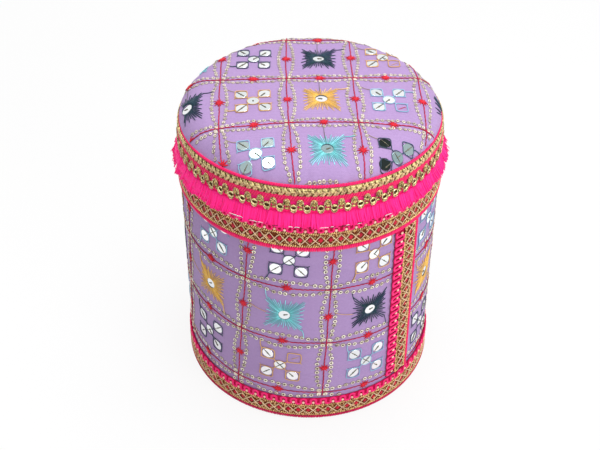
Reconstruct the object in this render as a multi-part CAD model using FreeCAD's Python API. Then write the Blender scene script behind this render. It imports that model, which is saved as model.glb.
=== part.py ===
"""Round storage drum with a lift-off padded lid, covered in mirror-work cloth.

Millimetres, +Z up. The origin is the middle of the underside and the front looks towards -Y.
Angles round the drum are in degrees from the front, growing towards +X.
"""
import FreeCAD, Part
import math
import os

V = FreeCAD.Vector
UP = V(0, 0, 1)
FULL_TURN = 360.0

# Drum
drum_radius = 150.0          # outside of the cloth
rim_height = 299.0           # floor to the cloth on the rim
drum_wall = 7.5
fabric = 1.2                 # embroidered cloth with its backing
lining = 0.8
glue_gap = 0.1
base_thickness = 8.0
bottom_cloth_thickness = 1.0
bottom_cloth_inset = 5.0     # edge of the bottom cloth inside the drum's edge
hem_width = 14.0             # cloth turned under the wall

# Collar that locates the lid
neck_wall = 5.0
neck_rise = 22.0             # above the rim
neck_depth = 42.0            # below the rim
lid_clearance = 1.3          # between collar and lid, all round

# Cloth seam and trim tape
seam_angle = 45.25
seam_gap = 1.5
tape_width = 33.0            # round the rim
base_tape_width = 36.0       # round the foot
seam_tape_width = 38.0       # pressed flat over the seam
tape_thickness = 1.8
tape_gap = 0.1               # under a tape, and between neighbouring tapes
top_tape_rise = 2.0          # tape edge above the rim, in front of the lid's joint
base_tape_lift = 1.0         # tape edge above the floor

# Lid
lid_side = 50.5              # rim to the crease round the pad
hoop_wall = 2.5
hoop_drop = 3.5              # hoop's top below the crease
lid_board_thickness = 6.0
crown_height = 24.0          # crease to the top of the pad
shoulder_radius = 35.0
edge_slope = 60.0            # of the pad where it meets the crease
edge_draw = 1.0              # how far the crease is drawn in

# Braids and fringe on the lid's side, from the crease down
edge_cord_radius = 1.8
gold_braid_width = 10.0
gimp_width = 4.8
scroll_width = 16.2
braid_thickness = 1.9
scroll_thickness = 2.2
header_thickness = 1.0
header_overhang = 3.0        # heading below the scroll braid
fringe_length = 13.4
fringe_flare = 7.0

# Fasteners
nail_radius = 0.8
nail_length = 22.0
lid_nail_length = 14.0
nail_count = 12
nail_fit = 0.05
nail_sink = 0.3              # nail head below the wall's face
staple_count = 12
staple_width = 10.0
staple_leg = 7.0
staple_wire = 0.6
staple_inset = 12.0          # from the bottom cloth's edge
staple_fit = 0.05

# Mirrors sewn on the cloth
mirror_radius = 6.9
mirror_thickness = 0.6
mirror_seat = 0.05
body_columns = 9
body_first_angle = 27.4      # first motif column, right of the front, at the middle row
body_front_columns = 3
body_front_step_angle = 38.2 # degrees from column to column across the front, leftwards
body_back_step_angle = 41.05 # the same round the back, where the cloth is pulled wider
body_slant = 0.054           # sideways lean of the columns for each millimetre of height
body_slant_ratio = 0.076     # how much the lean grows towards the left
body_row_count = 3
body_row_drop = 17.3         # top row's middle below the top tape
body_row_pitch = 82.5
body_row_sway = 6.0          # the cloth's rows rise and fall round the drum
body_spread = 15.0           # corner mirrors from the motif's middle, each way
lid_column_pitch = 75.4
lid_column_offset = 11.9     # a column of bursts right of the lid's middle
lid_column_lean = -3.95      # sideways, for each row
lid_column_curl = 1.5
lid_row_pitch = 85.0
lid_row_offset = -17.1       # a row of motifs in front of the lid's middle
lid_row_growth = 2.95        # the cloth is stretched more towards the edge
lid_row_bow = 5.06
lid_row_tilt = 2.8           # for each column
lid_row_fan = 1.3
lid_row_curl = 0.87
lid_spread = 12.9
lid_slip = 4.0               # mirrors that would lie under the edge cord by less are sewn above it
body_lost = {(1, 2): [(1, 1)]}                    # mirrors that have come off: column, row, corners
lid_lost = {(1, 1): [(1, -1)], (1, 0): [(1, -1)]}

# Sizes that follow
shell_outer = drum_radius - fabric - glue_gap
shell_inner = shell_outer - drum_wall
shell_bottom = bottom_cloth_thickness + fabric
shell_top = rim_height - fabric
floor_top = shell_bottom + base_thickness
neck_outer = shell_inner - glue_gap
neck_inner = neck_outer - neck_wall
neck_top = rim_height + neck_rise
neck_bottom = rim_height - neck_depth
neck_cover_outer = neck_outer + glue_gap + lining
neck_cover_inner = neck_inner - glue_gap - lining
hoop_inner = neck_cover_outer + lid_clearance + lining + glue_gap
hoop_outer = hoop_inner + hoop_wall
lid_radius = hoop_outer + glue_gap + fabric
crease_height = rim_height + lid_side
crease_radius = lid_radius - edge_draw
hoop_bottom = rim_height + fabric
hoop_top = crease_height - hoop_drop
lid_board_bottom = hoop_top - lid_board_thickness
crown_top = crease_height + crown_height
mirror_outer = math.hypot(drum_radius + mirror_seat + mirror_thickness, mirror_radius)
tape_inner = mirror_outer + tape_gap     # the tape lies over the mirrors at its edge
top_tape_low = rim_height + top_tape_rise - tape_width
base_tape_top = base_tape_lift + base_tape_width


def ring(inner, outer, low, high):
    """Flat-ended tube about Z."""
    body = Part.makeCylinder(outer, high - low, V(0, 0, low))
    return body.cut(Part.makeCylinder(inner, high - low, V(0, 0, low)))


def disc(radius, low, high):
    return Part.makeCylinder(radius, high - low, V(0, 0, low))


def revolve(edges):
    """Solid of revolution about Z from a closed outline in the XZ plane."""
    return Part.Face(Part.Wire(edges)).revolve(V(0, 0, 0), UP, FULL_TURN)


def line(start, end):
    return Part.LineSegment(V(start[0], 0, start[1]), V(end[0], 0, end[1])).toShape()


def outline(points):
    """Closed outline of straight lines through (radius, height) points."""
    return [line(a, b) for a, b in zip(points, points[1:] + points[:1])]


def around(angle):
    """Unit vector pointing out of the drum at an angle from the front."""
    turn = math.radians(angle)
    return V(math.sin(turn), -math.cos(turn), 0)


def turned(shape, angle):
    """Copy of a shape made at the front, turned to an angle."""
    copy = shape.copy()
    copy.rotate(V(0, 0, 0), UP, angle)
    return copy


def sector(inner, outer, low, high, width, angle):
    """Upright strip of a tube, of a given width round the outside."""
    half = math.degrees(width / outer) / 2
    strip = ring(inner, outer, low, high)
    reach = outer * 2
    wedge = Part.makeCylinder(reach, high - low, V(0, 0, low), UP, half * 2)
    wedge.rotate(V(0, 0, 0), UP, angle - half - FULL_TURN / 4)
    return strip.common(wedge)


# Drum

def drum_shell():
    return ring(shell_inner, shell_outer, shell_bottom, shell_top).cut(base_nails(nail_fit))


def base_board():
    board = disc(shell_inner - glue_gap, shell_bottom, floor_top)
    return board.cut(base_nails(nail_fit)).cut(bottom_staples(staple_fit))


def nails(radius, length, height, grow):
    """Ring of brads driven inwards, their heads just below the face at the given radius."""
    start = radius - nail_sink + grow
    brads = []
    for i in range(nail_count):
        out = around(i * FULL_TURN / nail_count)
        head = out * start + UP * height
        brads.append(Part.makeCylinder(nail_radius + grow, length + grow * 2, head, out * -1))
    return Part.makeCompound(brads)


def base_nails(grow=0.0):
    return nails(shell_outer, nail_length, shell_bottom + base_thickness / 2, grow)


def bottom_staples(grow=0.0):
    """Staples through the bottom cloth into the base board, crowns let in flush with the underside."""
    wire = staple_wire + grow * 2
    width = staple_width + grow * 2
    middle = shell_outer - bottom_cloth_inset - staple_inset
    staple = Part.makeBox(width, wire, wire, V(-width / 2, -wire / 2, -grow))
    for side in (-1, 1):
        x = side * (staple_width - staple_wire) / 2 - wire / 2
        staple = staple.fuse(Part.makeBox(wire, wire, staple_leg + grow * 2, V(x, -wire / 2, -grow)))
    staple = staple.removeSplitter()
    staple.translate(V(0, -middle, 0))
    step = FULL_TURN / staple_count
    return Part.makeCompound([turned(staple, i * step).Solids[0] for i in range(staple_count)])


def bottom_cloth():
    cloth = disc(shell_outer - bottom_cloth_inset, 0, bottom_cloth_thickness)
    return cloth.cut(bottom_staples(staple_fit))


def body_cover():
    """Cloth round the wall, turned under it and over the rim, open along its seam."""
    under = bottom_cloth_thickness
    profile = [(shell_outer - hem_width, under), (drum_radius, under), (drum_radius, rim_height),
               (shell_inner, rim_height), (shell_inner, shell_top), (shell_outer + glue_gap, shell_top),
               (shell_outer + glue_gap, shell_bottom), (shell_outer - hem_width, shell_bottom)]
    cloth = revolve(outline(profile))
    slot = Part.makeBox(seam_gap, drum_radius, rim_height, V(-seam_gap / 2, -drum_radius, 0))
    return cloth.cut(turned(slot, seam_angle))


def tape_ring(low, width):
    return ring(tape_inner, tape_inner + tape_thickness, low, low + width)


def top_trim():
    return tape_ring(top_tape_low, tape_width)


def base_trim():
    return tape_ring(base_tape_lift, base_tape_width)


def seam_trim():
    low = base_tape_top + tape_gap
    high = top_tape_low - tape_gap
    return sector(tape_inner, tape_inner + tape_thickness, low, high, seam_tape_width, seam_angle)


def neck_ring():
    return ring(neck_inner, neck_outer, neck_bottom, neck_top)


def neck_cover():
    """Cloth over the collar: outside above the rim, over its top and down the inside."""
    top = neck_top + glue_gap + lining
    profile = [(neck_cover_inner, neck_bottom), (neck_inner - glue_gap, neck_bottom),
               (neck_inner - glue_gap, neck_top + glue_gap), (neck_outer + glue_gap, neck_top + glue_gap),
               (neck_outer + glue_gap, rim_height), (neck_cover_outer, rim_height),
               (neck_cover_outer, top), (neck_cover_inner, top)]
    return revolve(outline(profile))


def wall_lining():
    outer = shell_inner - glue_gap
    return ring(outer - lining, outer, floor_top, neck_bottom)


def floor_lining():
    return disc(shell_inner - glue_gap - lining - glue_gap, floor_top, floor_top + lining)


# Lid

def pad_arcs(sink):
    """Crown and shoulder circles of the pad's section, a depth below the cloth's outside.

    Returns (radius, centre radius, centre height) for each, and the radius where they meet.
    """
    slope = math.radians(edge_slope)
    side = crease_radius - shoulder_radius * math.sin(slope)
    level = crease_height - shoulder_radius * math.cos(slope)
    fall = level - crown_top
    crown_radius = (shoulder_radius ** 2 - side ** 2 - fall ** 2) / (2 * (fall + shoulder_radius))
    crown = (crown_radius - sink, 0.0, crown_top - crown_radius)
    shoulder = (shoulder_radius - sink, side, level)
    meet = side * (crown_radius - sink) / (crown_radius - shoulder_radius)
    return crown, shoulder, meet


def on_arc(circle, slope):
    """Point of a section circle where the pad slopes down by an angle in radians."""
    radius, side, level = circle
    return (side + radius * math.sin(slope), level + radius * math.cos(slope))


def arc(circle, start, end):
    """Edge along a section circle between two slopes in radians."""
    points = [on_arc(circle, slope) for slope in (start, (start + end) / 2, end)]
    return Part.Arc(*[V(r, 0, z) for r, z in points]).toShape()


def pad_section(sink):
    """Edges of the pad's section from the top of the crown down to the crease, and the last point."""
    crown, shoulder, meet = pad_arcs(sink)
    join = math.asin(meet / crown[0])
    last = math.radians(edge_slope)
    return [arc(crown, 0.0, join), arc(shoulder, join, last)], on_arc(shoulder, last)


def lid_hoop():
    return ring(hoop_inner, hoop_outer, hoop_bottom, hoop_top).cut(lid_nails(nail_fit))


def lid_board():
    board = disc(hoop_inner - glue_gap, lid_board_bottom, hoop_top)
    return board.cut(lid_nails(nail_fit))


def lid_nails(grow=0.0):
    return nails(hoop_outer, lid_nail_length, lid_board_bottom + lid_board_thickness / 2, grow)


def lid_foam():
    """Crowned pad on the board, drawn in at the crease."""
    curve, crease = pad_section(fabric + glue_gap)
    top = (0, crown_top - fabric - glue_gap)
    return revolve(curve + [line(crease, (hoop_outer, hoop_top)), line((hoop_outer, hoop_top), (0, hoop_top)),
                            line((0, hoop_top), top)])


def lid_cover():
    """Cloth over pad and hoop, turned under the hoop's edge."""
    outside, crease_out = pad_section(0)
    inside, crease_in = pad_section(fabric)
    inner = hoop_outer + glue_gap
    run = [crease_out, (lid_radius, hoop_top), (lid_radius, rim_height), (hoop_inner, rim_height),
           (hoop_inner, hoop_bottom), (inner, hoop_bottom), (inner, hoop_top), crease_in]
    flank = [line(a, b) for a, b in zip(run, run[1:])]
    return revolve(outside + flank + inside[::-1] + [line((0, crown_top - fabric), (0, crown_top))])


def lid_edge_cord():
    """Cord in the crease, lying on the gold braid's upper edge and against the pad's cloth."""
    height = braid_heights()[0] + tape_gap + edge_cord_radius
    radius, side, level = pad_arcs(0)[1]
    apart = radius + tape_gap + edge_cord_radius
    out = side + math.sqrt(apart ** 2 - (height - level) ** 2)
    return Part.makeTorus(out, edge_cord_radius, V(0, 0, height))


def lid_tape(top, width, inner, thickness):
    return ring(inner, inner + thickness, top - width, top)


def braid_heights():
    """Upper edges of the gold braid, the gimp, the scroll braid and the fringe."""
    gold = crease_height
    gimp = gold - gold_braid_width - tape_gap
    scroll = gimp - gimp_width - tape_gap
    fringe = scroll - scroll_width - tape_gap
    return gold, gimp, scroll, fringe


def lid_gold_braid():
    return lid_tape(braid_heights()[0], gold_braid_width, lid_radius + tape_gap, braid_thickness)


def lid_gimp():
    return lid_tape(braid_heights()[1], gimp_width, lid_radius + tape_gap, braid_thickness)


def lid_fringe_header():
    width = scroll_width + header_overhang
    return lid_tape(braid_heights()[2], width, lid_radius + tape_gap, header_thickness)


def scroll_inner():
    return lid_radius + tape_gap + header_thickness + tape_gap


def lid_scroll_braid():
    return lid_tape(braid_heights()[2], scroll_width, scroll_inner(), scroll_thickness)


def lid_fringe():
    """Flared skirt of the fringe's outer shape."""
    top = braid_heights()[3]
    low = top - fringe_length
    inner = scroll_inner()
    outer = inner + scroll_thickness
    flared = [(outer + fringe_flare, low), (inner + fringe_flare, low)]
    return revolve(outline([(inner, top), (outer, top)] + flared))


def lid_lining():
    return disc(hoop_inner - glue_gap, lid_board_bottom - lining, lid_board_bottom)


def lid_wall_lining():
    outer = hoop_inner - glue_gap
    return ring(outer - lining, outer, rim_height, lid_board_bottom - lining)


# Mirrors

def motif_corners(five, lost):
    """Mirror places about a motif's middle: five in a cross, or one in a burst."""
    corners = [(x, y) for x in (-1, 1) for y in (-1, 1) if (x, y) not in lost]
    return [(0, 0)] + (corners if five else [])


def body_mirror(angle, height):
    out = around(angle)
    seat = out * (drum_radius + mirror_seat) + UP * height
    return Part.makeCylinder(mirror_radius, mirror_thickness, seat, out)


def body_column(column):
    """Angle of a motif column at the middle row."""
    front = min(column, body_front_columns - 1)
    return body_first_angle - front * body_front_step_angle - (column - front) * body_back_step_angle


def body_mirrors():
    """Crosses of five in every other row, from the top one down, and bursts of one between them."""
    discs = []
    rows = [(body_row_count - 1) / 2 - row for row in range(body_row_count)]
    middle_row = top_tape_low - body_row_drop - body_row_pitch * rows[0]
    for column in range(body_columns):
        for row in range(body_row_count):
            for x, y in motif_corners(row % 2 == 0, body_lost.get((column, row), [])):
                up = rows[row] * body_row_pitch + y * body_spread
                angle = body_column(column) + math.degrees(x * body_spread / drum_radius)
                lean = (body_slant - body_slant_ratio * math.sin(math.radians(angle))) * up
                angle += math.degrees(lean / drum_radius)
                sway = body_row_sway * math.sin(math.radians(angle))
                discs.append(body_mirror(angle, middle_row + up - sway))
    return Part.makeCompound(discs)


def lid_place(a, b):
    """Place along the lid's cloth from its middle, for a place counted in columns and rows."""
    x = lid_column_offset + lid_column_pitch * a + lid_column_lean * b + lid_column_curl * b ** 2
    y = lid_row_offset + lid_row_pitch * b + lid_row_growth * b ** 3 + lid_row_bow * a ** 2 * b
    return x, y + lid_row_tilt * a + lid_row_fan * a * b + lid_row_curl * a ** 2


def lid_mirror(x, y):
    """Mirror at a place measured along the cloth, flat on the crown or the shoulder."""
    crown, shoulder, meet = pad_arcs(0)
    join = math.asin(meet / crown[0])
    length = math.hypot(x, y)
    on_crown = length / crown[0]
    slope = on_crown if on_crown < join else join + (length - join * crown[0]) / shoulder[0]
    r, z = on_arc(crown if on_crown < join else shoulder, slope)
    out = V(x / length * math.sin(slope), y / length * math.sin(slope), math.cos(slope))
    seat = V(x / length * r, y / length * r, z) + out * mirror_seat
    return Part.makeCylinder(mirror_radius, mirror_thickness, seat, out)


def lid_reach():
    """Furthest a mirror's middle can be from the lid's, along the cloth, to stay clear of the edge cord."""
    crown, shoulder, meet = pad_arcs(0)
    join = math.asin(meet / crown[0])
    crease = join * crown[0] + (math.radians(edge_slope) - join) * shoulder[0]
    return crease - mirror_radius - 2 * edge_cord_radius


def lid_mirrors():
    """Columns of bursts and of crosses of five by turns, as far out as the pad can carry them."""
    discs = []
    reach = lid_reach()
    columns = math.ceil(reach / lid_column_pitch)
    rows = math.ceil(reach / lid_row_pitch)
    for column in range(-columns, columns + 1):
        for row in range(-rows, rows + 1):
            for i, j in motif_corners(column % 2 == 1, lid_lost.get((column, row), [])):
                aside, ahead = i * lid_spread / lid_column_pitch, j * lid_spread / lid_row_pitch
                x, y = lid_place(column + aside, row + ahead)
                length = math.hypot(x, y)
                if length < reach + lid_slip:
                    share = min(1.0, reach / length)
                    discs.append(lid_mirror(x * share, y * share))
    return Part.makeCompound(discs)


NODES = (drum_shell, base_board, base_nails, bottom_cloth, bottom_staples, body_cover,
         top_trim, base_trim, seam_trim, body_mirrors, neck_ring, neck_cover, wall_lining, floor_lining,
         lid_hoop, lid_board, lid_nails, lid_foam, lid_cover, lid_mirrors, lid_lining, lid_wall_lining,
         lid_edge_cord, lid_gold_braid, lid_gimp, lid_scroll_braid, lid_fringe_header, lid_fringe)

os.makedirs("parts", exist_ok=True)
for node in NODES:
    shape = node()
    shape.exportStep("parts/" + node.__name__ + ".step")
    print(node.__name__, len(shape.Solids), round(shape.Volume, 1), shape.isValid())
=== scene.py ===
import math

import bpy
import numpy as np
from mathutils import Matrix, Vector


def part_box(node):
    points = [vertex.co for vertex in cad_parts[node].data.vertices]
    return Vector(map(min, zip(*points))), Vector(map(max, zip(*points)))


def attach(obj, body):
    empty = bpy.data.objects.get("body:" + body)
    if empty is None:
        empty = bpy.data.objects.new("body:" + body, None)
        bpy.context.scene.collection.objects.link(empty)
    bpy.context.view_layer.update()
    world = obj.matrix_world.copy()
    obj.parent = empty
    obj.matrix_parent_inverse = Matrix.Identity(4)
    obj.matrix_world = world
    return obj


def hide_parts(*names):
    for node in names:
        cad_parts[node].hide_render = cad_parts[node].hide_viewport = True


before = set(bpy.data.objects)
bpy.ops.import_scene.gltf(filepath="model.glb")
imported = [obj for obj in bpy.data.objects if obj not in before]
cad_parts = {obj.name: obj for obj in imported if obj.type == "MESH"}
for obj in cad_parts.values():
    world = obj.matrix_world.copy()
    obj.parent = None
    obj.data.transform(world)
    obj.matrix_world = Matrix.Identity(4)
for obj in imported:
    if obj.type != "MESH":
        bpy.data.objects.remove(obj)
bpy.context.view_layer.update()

# A round storage drum in lilac mirror-work cloth, with gold and pink trims and a padded lift-off lid.
# Sizes are in millimetres. Patterns are drawn flat, as (along, up, height) points, and then laid on the part.

MM = 0.001
TURN = 2 * math.pi
UP = np.array((0.0, 0.0, 1.0))
rng = np.random.default_rng(11)


def reach(node):
    """Outer radius of a round node."""
    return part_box(node)[1].x / MM


def foot(node):
    """Lowest height of a node."""
    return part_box(node)[0].z / MM


def head(node):
    """Highest height of a node."""
    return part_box(node)[1].z / MM


# Sizes read from the frame, and where the trims' backs lie
drum_radius = reach("body_cover")
rim_height = head("body_cover")
lid_radius = reach("lid_cover")
lid_foot = foot("lid_cover")
crown_top = head("lid_cover")
tape_thickness = 1.8
tape_back = reach("base_trim") - tape_thickness     # inner radius of the tape round the drum
trim_back = lid_radius + 0.1            # inner radius of the braids round the lid

# Cloth and pad
cloth_thickness = 1.1
hem_width = 13.0
seam_angle = math.radians(45.25)
seam_gap = 1.5
seam_tape_width = 38.0
lining_thickness = 0.8
collar_depth = 5.9        # collar's wall with the cloth on its inside
crown_height = 24.0
shoulder_radius = 35.0
edge_slope = math.radians(60)
edge_draw = 1.0
edge_cord_radius = 1.8
trim_dip = 6.0            # how much lower the lid's trims sit at the back than at the front
trim_lean = 2.4           # and how much lower again on the left, as the photograph shows them

# Pattern on the drum: columns counted leftwards from the seam
first_column = math.radians(27.4)
front_columns, front_step = 3, math.radians(38.2)
back_columns, back_step = 6, math.radians(41.05)
middle_row = 168.2
row_pitch = 82.5
drum_slant, drum_fan, drum_sway = 0.054, 0.076, 6.0

# Pattern on the lid, in columns and rows from its middle motif
lid_column_pitch, lid_row_pitch = 75.4, 85.0
lid_slip = 4.0

# Motifs
mirror_radius = 6.9
mirror_thickness = 0.6
chain_inset = 1.8


# The profile of the lid's crown: a wide arc that runs into a tight shoulder arc down to the crease
crease_radius = lid_radius - edge_draw
crease_height = crown_top - crown_height
shoulder_out = crease_radius - shoulder_radius * math.sin(edge_slope)
shoulder_up = crease_height - shoulder_radius * math.cos(edge_slope)
shoulder_drop = crown_top - shoulder_up
crown_radius = (shoulder_out**2 + shoulder_drop**2 - shoulder_radius**2) / (2 * (shoulder_drop - shoulder_radius))
join_angle = math.asin(shoulder_out / (crown_radius - shoulder_radius))
join_length = crown_radius * join_angle
crease_length = join_length + shoulder_radius * (edge_slope - join_angle)
mirror_reach = crease_length - mirror_radius - 2 * edge_cord_radius


def crown_profile(length):
    """Radius, height and slope of the crown at a distance along the cloth from its middle."""
    on_top = np.minimum(length, join_length) / crown_radius
    on_shoulder = join_angle + np.maximum(length - join_length, 0) / shoulder_radius
    flat = length <= join_length
    radius = np.where(flat, crown_radius * np.sin(on_top), shoulder_out + shoulder_radius * np.sin(on_shoulder))
    height = np.where(flat, crown_top - crown_radius * (1 - np.cos(on_top)),
                      shoulder_up + shoulder_radius * np.cos(on_shoulder))
    return radius, height, np.where(flat, on_top, on_shoulder)


# Wrinkles, as low ridges at seeded places
wrinkle_count = 46
wrinkle_turn = rng.uniform(-math.pi, math.pi, wrinkle_count)
wrinkle_height = rng.uniform(45, 255, wrinkle_count)
wrinkle_length = rng.uniform(12, 36, wrinkle_count)
wrinkle_width = rng.uniform(1.3, 2.6, wrinkle_count)
wrinkle_tilt = rng.uniform(-0.3, 0.3, wrinkle_count)
wrinkle_rise = rng.uniform(0.3, 0.9, wrinkle_count)
gather_counts = np.array((17, 26, 41, 58))
gather_phases = rng.uniform(0, TURN, 4)
gather_rise = 0.3


def drum_wrinkles(turn, z):
    """How far the drum's cloth stands proud of the board's roundness."""
    proud = 0.15 * np.sin(3 * turn + z / 60) + 0.15
    for n in range(wrinkle_count):
        aside = (np.mod(turn - wrinkle_turn[n] + math.pi, TURN) - math.pi) * drum_radius
        over = z - wrinkle_height[n] - wrinkle_tilt[n] * aside
        proud += wrinkle_rise[n] * np.exp(-(aside / wrinkle_length[n]) ** 2 - (over / wrinkle_width[n]) ** 2)
    return proud


def lid_wrinkles(length, turn):
    """Soft gathers where the lid's cloth is drawn down over the shoulder."""
    grip = np.clip((length - 0.72 * crease_length) / (0.28 * crease_length), 0, 1) ** 1.5
    waves = np.sin(np.multiply.outer(gather_counts, turn) + gather_phases.reshape(-1, *[1] * np.ndim(turn)))
    return gather_rise * grip * waves.sum(axis=0)


def as_drawn(points):
    """Points that are already in the part's own frame."""
    return points * MM


def round_wall(turn, radius, z):
    """Points at an angle from the front, a radius and a height."""
    return np.column_stack((radius * np.sin(turn), -radius * np.cos(turn), z)) * MM


def drum_place(along, up):
    """Angle and height of a pattern point, with the lean and sway of the cloth as it was wrapped."""
    turn = along / drum_radius
    turn = turn + (up - middle_row) * (drum_slant - drum_fan * np.sin(turn)) / drum_radius
    return turn, up - drum_sway * np.sin(turn)


def on_drum(points):
    """Lays the pattern on the drum's cloth."""
    turn, z = drum_place(points[:, 0], points[:, 1])
    return round_wall(turn, drum_radius + points[:, 2] + drum_wrinkles(turn, z), z)


def lid_place(x, y):
    """Place along the lid's cloth from its middle, bent as the crossings in the photograph show it was pulled."""
    shift_along, shift_up = 11.9, -17.1
    a, b = x / lid_column_pitch, y / lid_row_pitch
    along = shift_along + x - 3.95 * b + 1.5 * b**2
    return along, shift_up + y + 2.95 * b**3 + 5.06 * a**2 * b + 2.8 * a + 1.3 * a * b + 0.87 * a**2


def on_lid(points):
    """Lays the pattern on the lid's crown."""
    x, y = lid_place(points[:, 0], points[:, 1])
    return on_crown(np.column_stack((x, y, points[:, 2])))


def on_crown(points):
    """Lays cloth points, measured along the cloth from its middle, on the lid's crown."""
    x, y, height = points.T
    flat = np.hypot(x, y)
    length = np.minimum(flat, crease_length - 0.5)
    radius, z, slope = crown_profile(length)
    height = height + lid_wrinkles(length, np.arctan2(y, x))
    share = (radius + height * np.sin(slope)) / np.maximum(flat, 1e-6)
    return np.column_stack((x * share, y * share, z + height * np.cos(slope))) * MM


def band(radius, level, hung=False):
    """Lays a strip round the part, with its lower edge at a height; the lid's hung trims sink at the back and left."""
    def place(points):
        along, up, height = points.T
        turn = along / radius
        sink = trim_dip * (1 - np.cos(turn)) / 2 + trim_lean * np.maximum(-np.sin(turn), 0) ** 2
        return round_wall(turn, radius + height, level + up - (sink if hung else 0))
    return place


def upright(radius, turn, width, level):
    """Lays a strip up the drum's wall, its lower edge to the right."""
    def place(points):
        along, up, height = points.T
        return round_wall(turn - (up - width / 2) / radius, radius + height, level + along)
    return place


# Shapes: each gives points, lay, quads and triangles. Lay holds, for each point, how far along its thread
# it is, how high on the thread's round, and a number that the whole thread shares.

def raised(flat, height):
    """Flat points, all at one height."""
    return np.column_stack((flat, np.full(len(flat), height)))


def level_spots(along, level, height):
    """Points along a strip, all at one level and height."""
    return raised(raised(along, level), height)


def even_turns(count):
    """Angles that divide a full turn evenly."""
    return np.arange(count) * TURN / count


def neighbours(sides):
    """The number of each side of a ring, and the next one's."""
    k = np.arange(sides)
    return k, (k + 1) % sides


def ring_faces(pairs, sides):
    """Quads between pairs of rings of points."""
    k, n = neighbours(sides)
    return np.concatenate([np.column_stack((i * sides + k, i * sides + n, j * sides + n, j * sides + k))
                           for i, j in pairs])


def numbered(pattern, count, size):
    """The same faces for each of many copies, with size points each."""
    return (pattern[None] + np.arange(count)[:, None, None] * size).reshape(-1, pattern.shape[1])


def strands(paths, width, height, sides=6, closed=False, period=0.0, section=None):
    """Threads along many flat-drawn paths at once; width and height are half sizes of the section."""
    paths = np.asarray(paths, float)
    count, steps = paths.shape[:2]
    if closed:
        before, after = np.roll(paths, 1, 1), np.roll(paths, -1, 1)
        before[:, 0, 0] -= period
        after[:, -1, 0] += period
        ahead = after - before
    else:
        ahead = np.gradient(paths, axis=1)
    across = np.stack((-ahead[..., 1], ahead[..., 0], np.zeros((count, steps))), -1)
    across /= np.maximum(np.linalg.norm(across, axis=-1, keepdims=True), 1e-9)
    above = np.cross(ahead, across)
    above /= np.maximum(np.linalg.norm(above, axis=-1, keepdims=True), 1e-9)
    if section is None:
        turn = even_turns(sides)
        section = np.column_stack((np.cos(turn), np.sin(turn)))
    section = np.asarray(section, float)
    sides = len(section)
    wide = np.broadcast_to(width, (count, steps))[..., None] * section[:, 0]
    high = np.broadcast_to(height, (count, steps))[..., None] * section[:, 1]
    rings = paths[:, :, None] + across[:, :, None] * wide[..., None] + above[:, :, None] * high[..., None]
    lay = np.empty(rings.shape)
    lay[..., 0] = np.linspace(0, 1, steps)[:, None]
    lay[..., 1] = (section[:, 1] + 1) / 2
    lay[..., 2] = rng.random((count, 1, 1))
    points, lay = rings.reshape(count, -1, 3), lay.reshape(count, -1, 3)
    k, n = neighbours(sides)
    last = steps if closed else steps - 1
    quads = ring_faces([(i, (i + 1) % steps) for i in range(last)], sides)
    triangles = np.zeros((0, 3), int)
    size = steps * sides
    if not closed:
        points = np.concatenate((points, paths[:, [0, -1]]), axis=1)
        ends = np.stack((lay[:, 0], lay[:, -1]), axis=1)
        lay = np.concatenate((lay, ends), axis=1)
        start, end = np.full(sides, size), np.full(sides, size + 1)
        far = (steps - 1) * sides
        triangles = np.concatenate((np.column_stack((start, n, k)), np.column_stack((end, far + k, far + n))))
        size += 2
    quads = numbered(quads, count, size)
    return points.reshape(-1, 3), lay.reshape(-1, 3), quads, numbered(triangles, count, size)


def turned(centres, profile, sides, loop=False, tilt=0.0, stretch=1.0):
    """Round shapes about the height axis; the profile runs up the outside, as (radius, height)."""
    centres = np.atleast_2d(np.asarray(centres, float))
    count = len(centres)
    profile = np.asarray(profile, float)
    poles = [] if loop else [p for p in (0, -1) if profile[p, 0] == 0]
    rings = np.delete(profile, poles, axis=0) if poles else profile
    turn = even_turns(sides)
    flat = np.stack((np.cos(turn), np.sin(turn) * stretch), -1)
    points = np.empty((len(rings), sides, 3))
    points[..., :2] = rings[:, 0, None, None] * flat
    points[..., 2] = rings[:, 1, None]
    points = points.reshape(-1, 3)
    k, n = neighbours(sides)
    steps = len(rings)
    pairs = [(i, (i + 1) % steps) for i in range(steps if loop else steps - 1)]
    quads = ring_faces(pairs, sides)
    triangles = [np.zeros((0, 3), int)]
    for pole in poles:
        tip = np.full(sides, len(points))
        points = np.concatenate((points, [(0, 0, profile[pole, 1])]))
        edge = 0 if pole == 0 else (steps - 1) * sides
        fan = (tip, edge + n, edge + k) if pole == 0 else (tip, edge + k, edge + n)
        triangles.append(np.column_stack(fan))
    size = len(points)
    lay = np.empty((count, size, 3))
    lay[..., 0] = np.hypot(points[:, 0], points[:, 1]) / max(profile[:, 0].max(), 1e-9)
    lay[..., 1] = (points[:, 2] - profile[:, 1].min()) / max(np.ptp(profile[:, 1]), 1e-9)
    lay[..., 2] = rng.random((count, 1))
    copies = np.repeat(points[None], count, axis=0)
    slopes = np.broadcast_to(tilt, (count, 2))
    copies[..., 2] += (copies[..., :2] * slopes[:, None]).sum(-1)
    copies += centres[:, None]
    quads = numbered(quads, count, size)
    return copies.reshape(-1, 3), lay.reshape(-1, 3), quads, numbered(np.concatenate(triangles), count, size)


class Heap:
    """Small shapes gathered into one mesh."""

    def __init__(self):
        self.parts = []
        self.count = 0

    def add(self, shape, slot=0):
        points, lay, quads, triangles = shape
        slots = np.full(len(quads), slot), np.full(len(triangles), slot)
        self.parts.append((points, lay, quads + self.count, triangles + self.count, *slots))
        self.count += len(points)

    def gathered(self):
        return [np.concatenate(column) for column in zip(*self.parts)]


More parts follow.
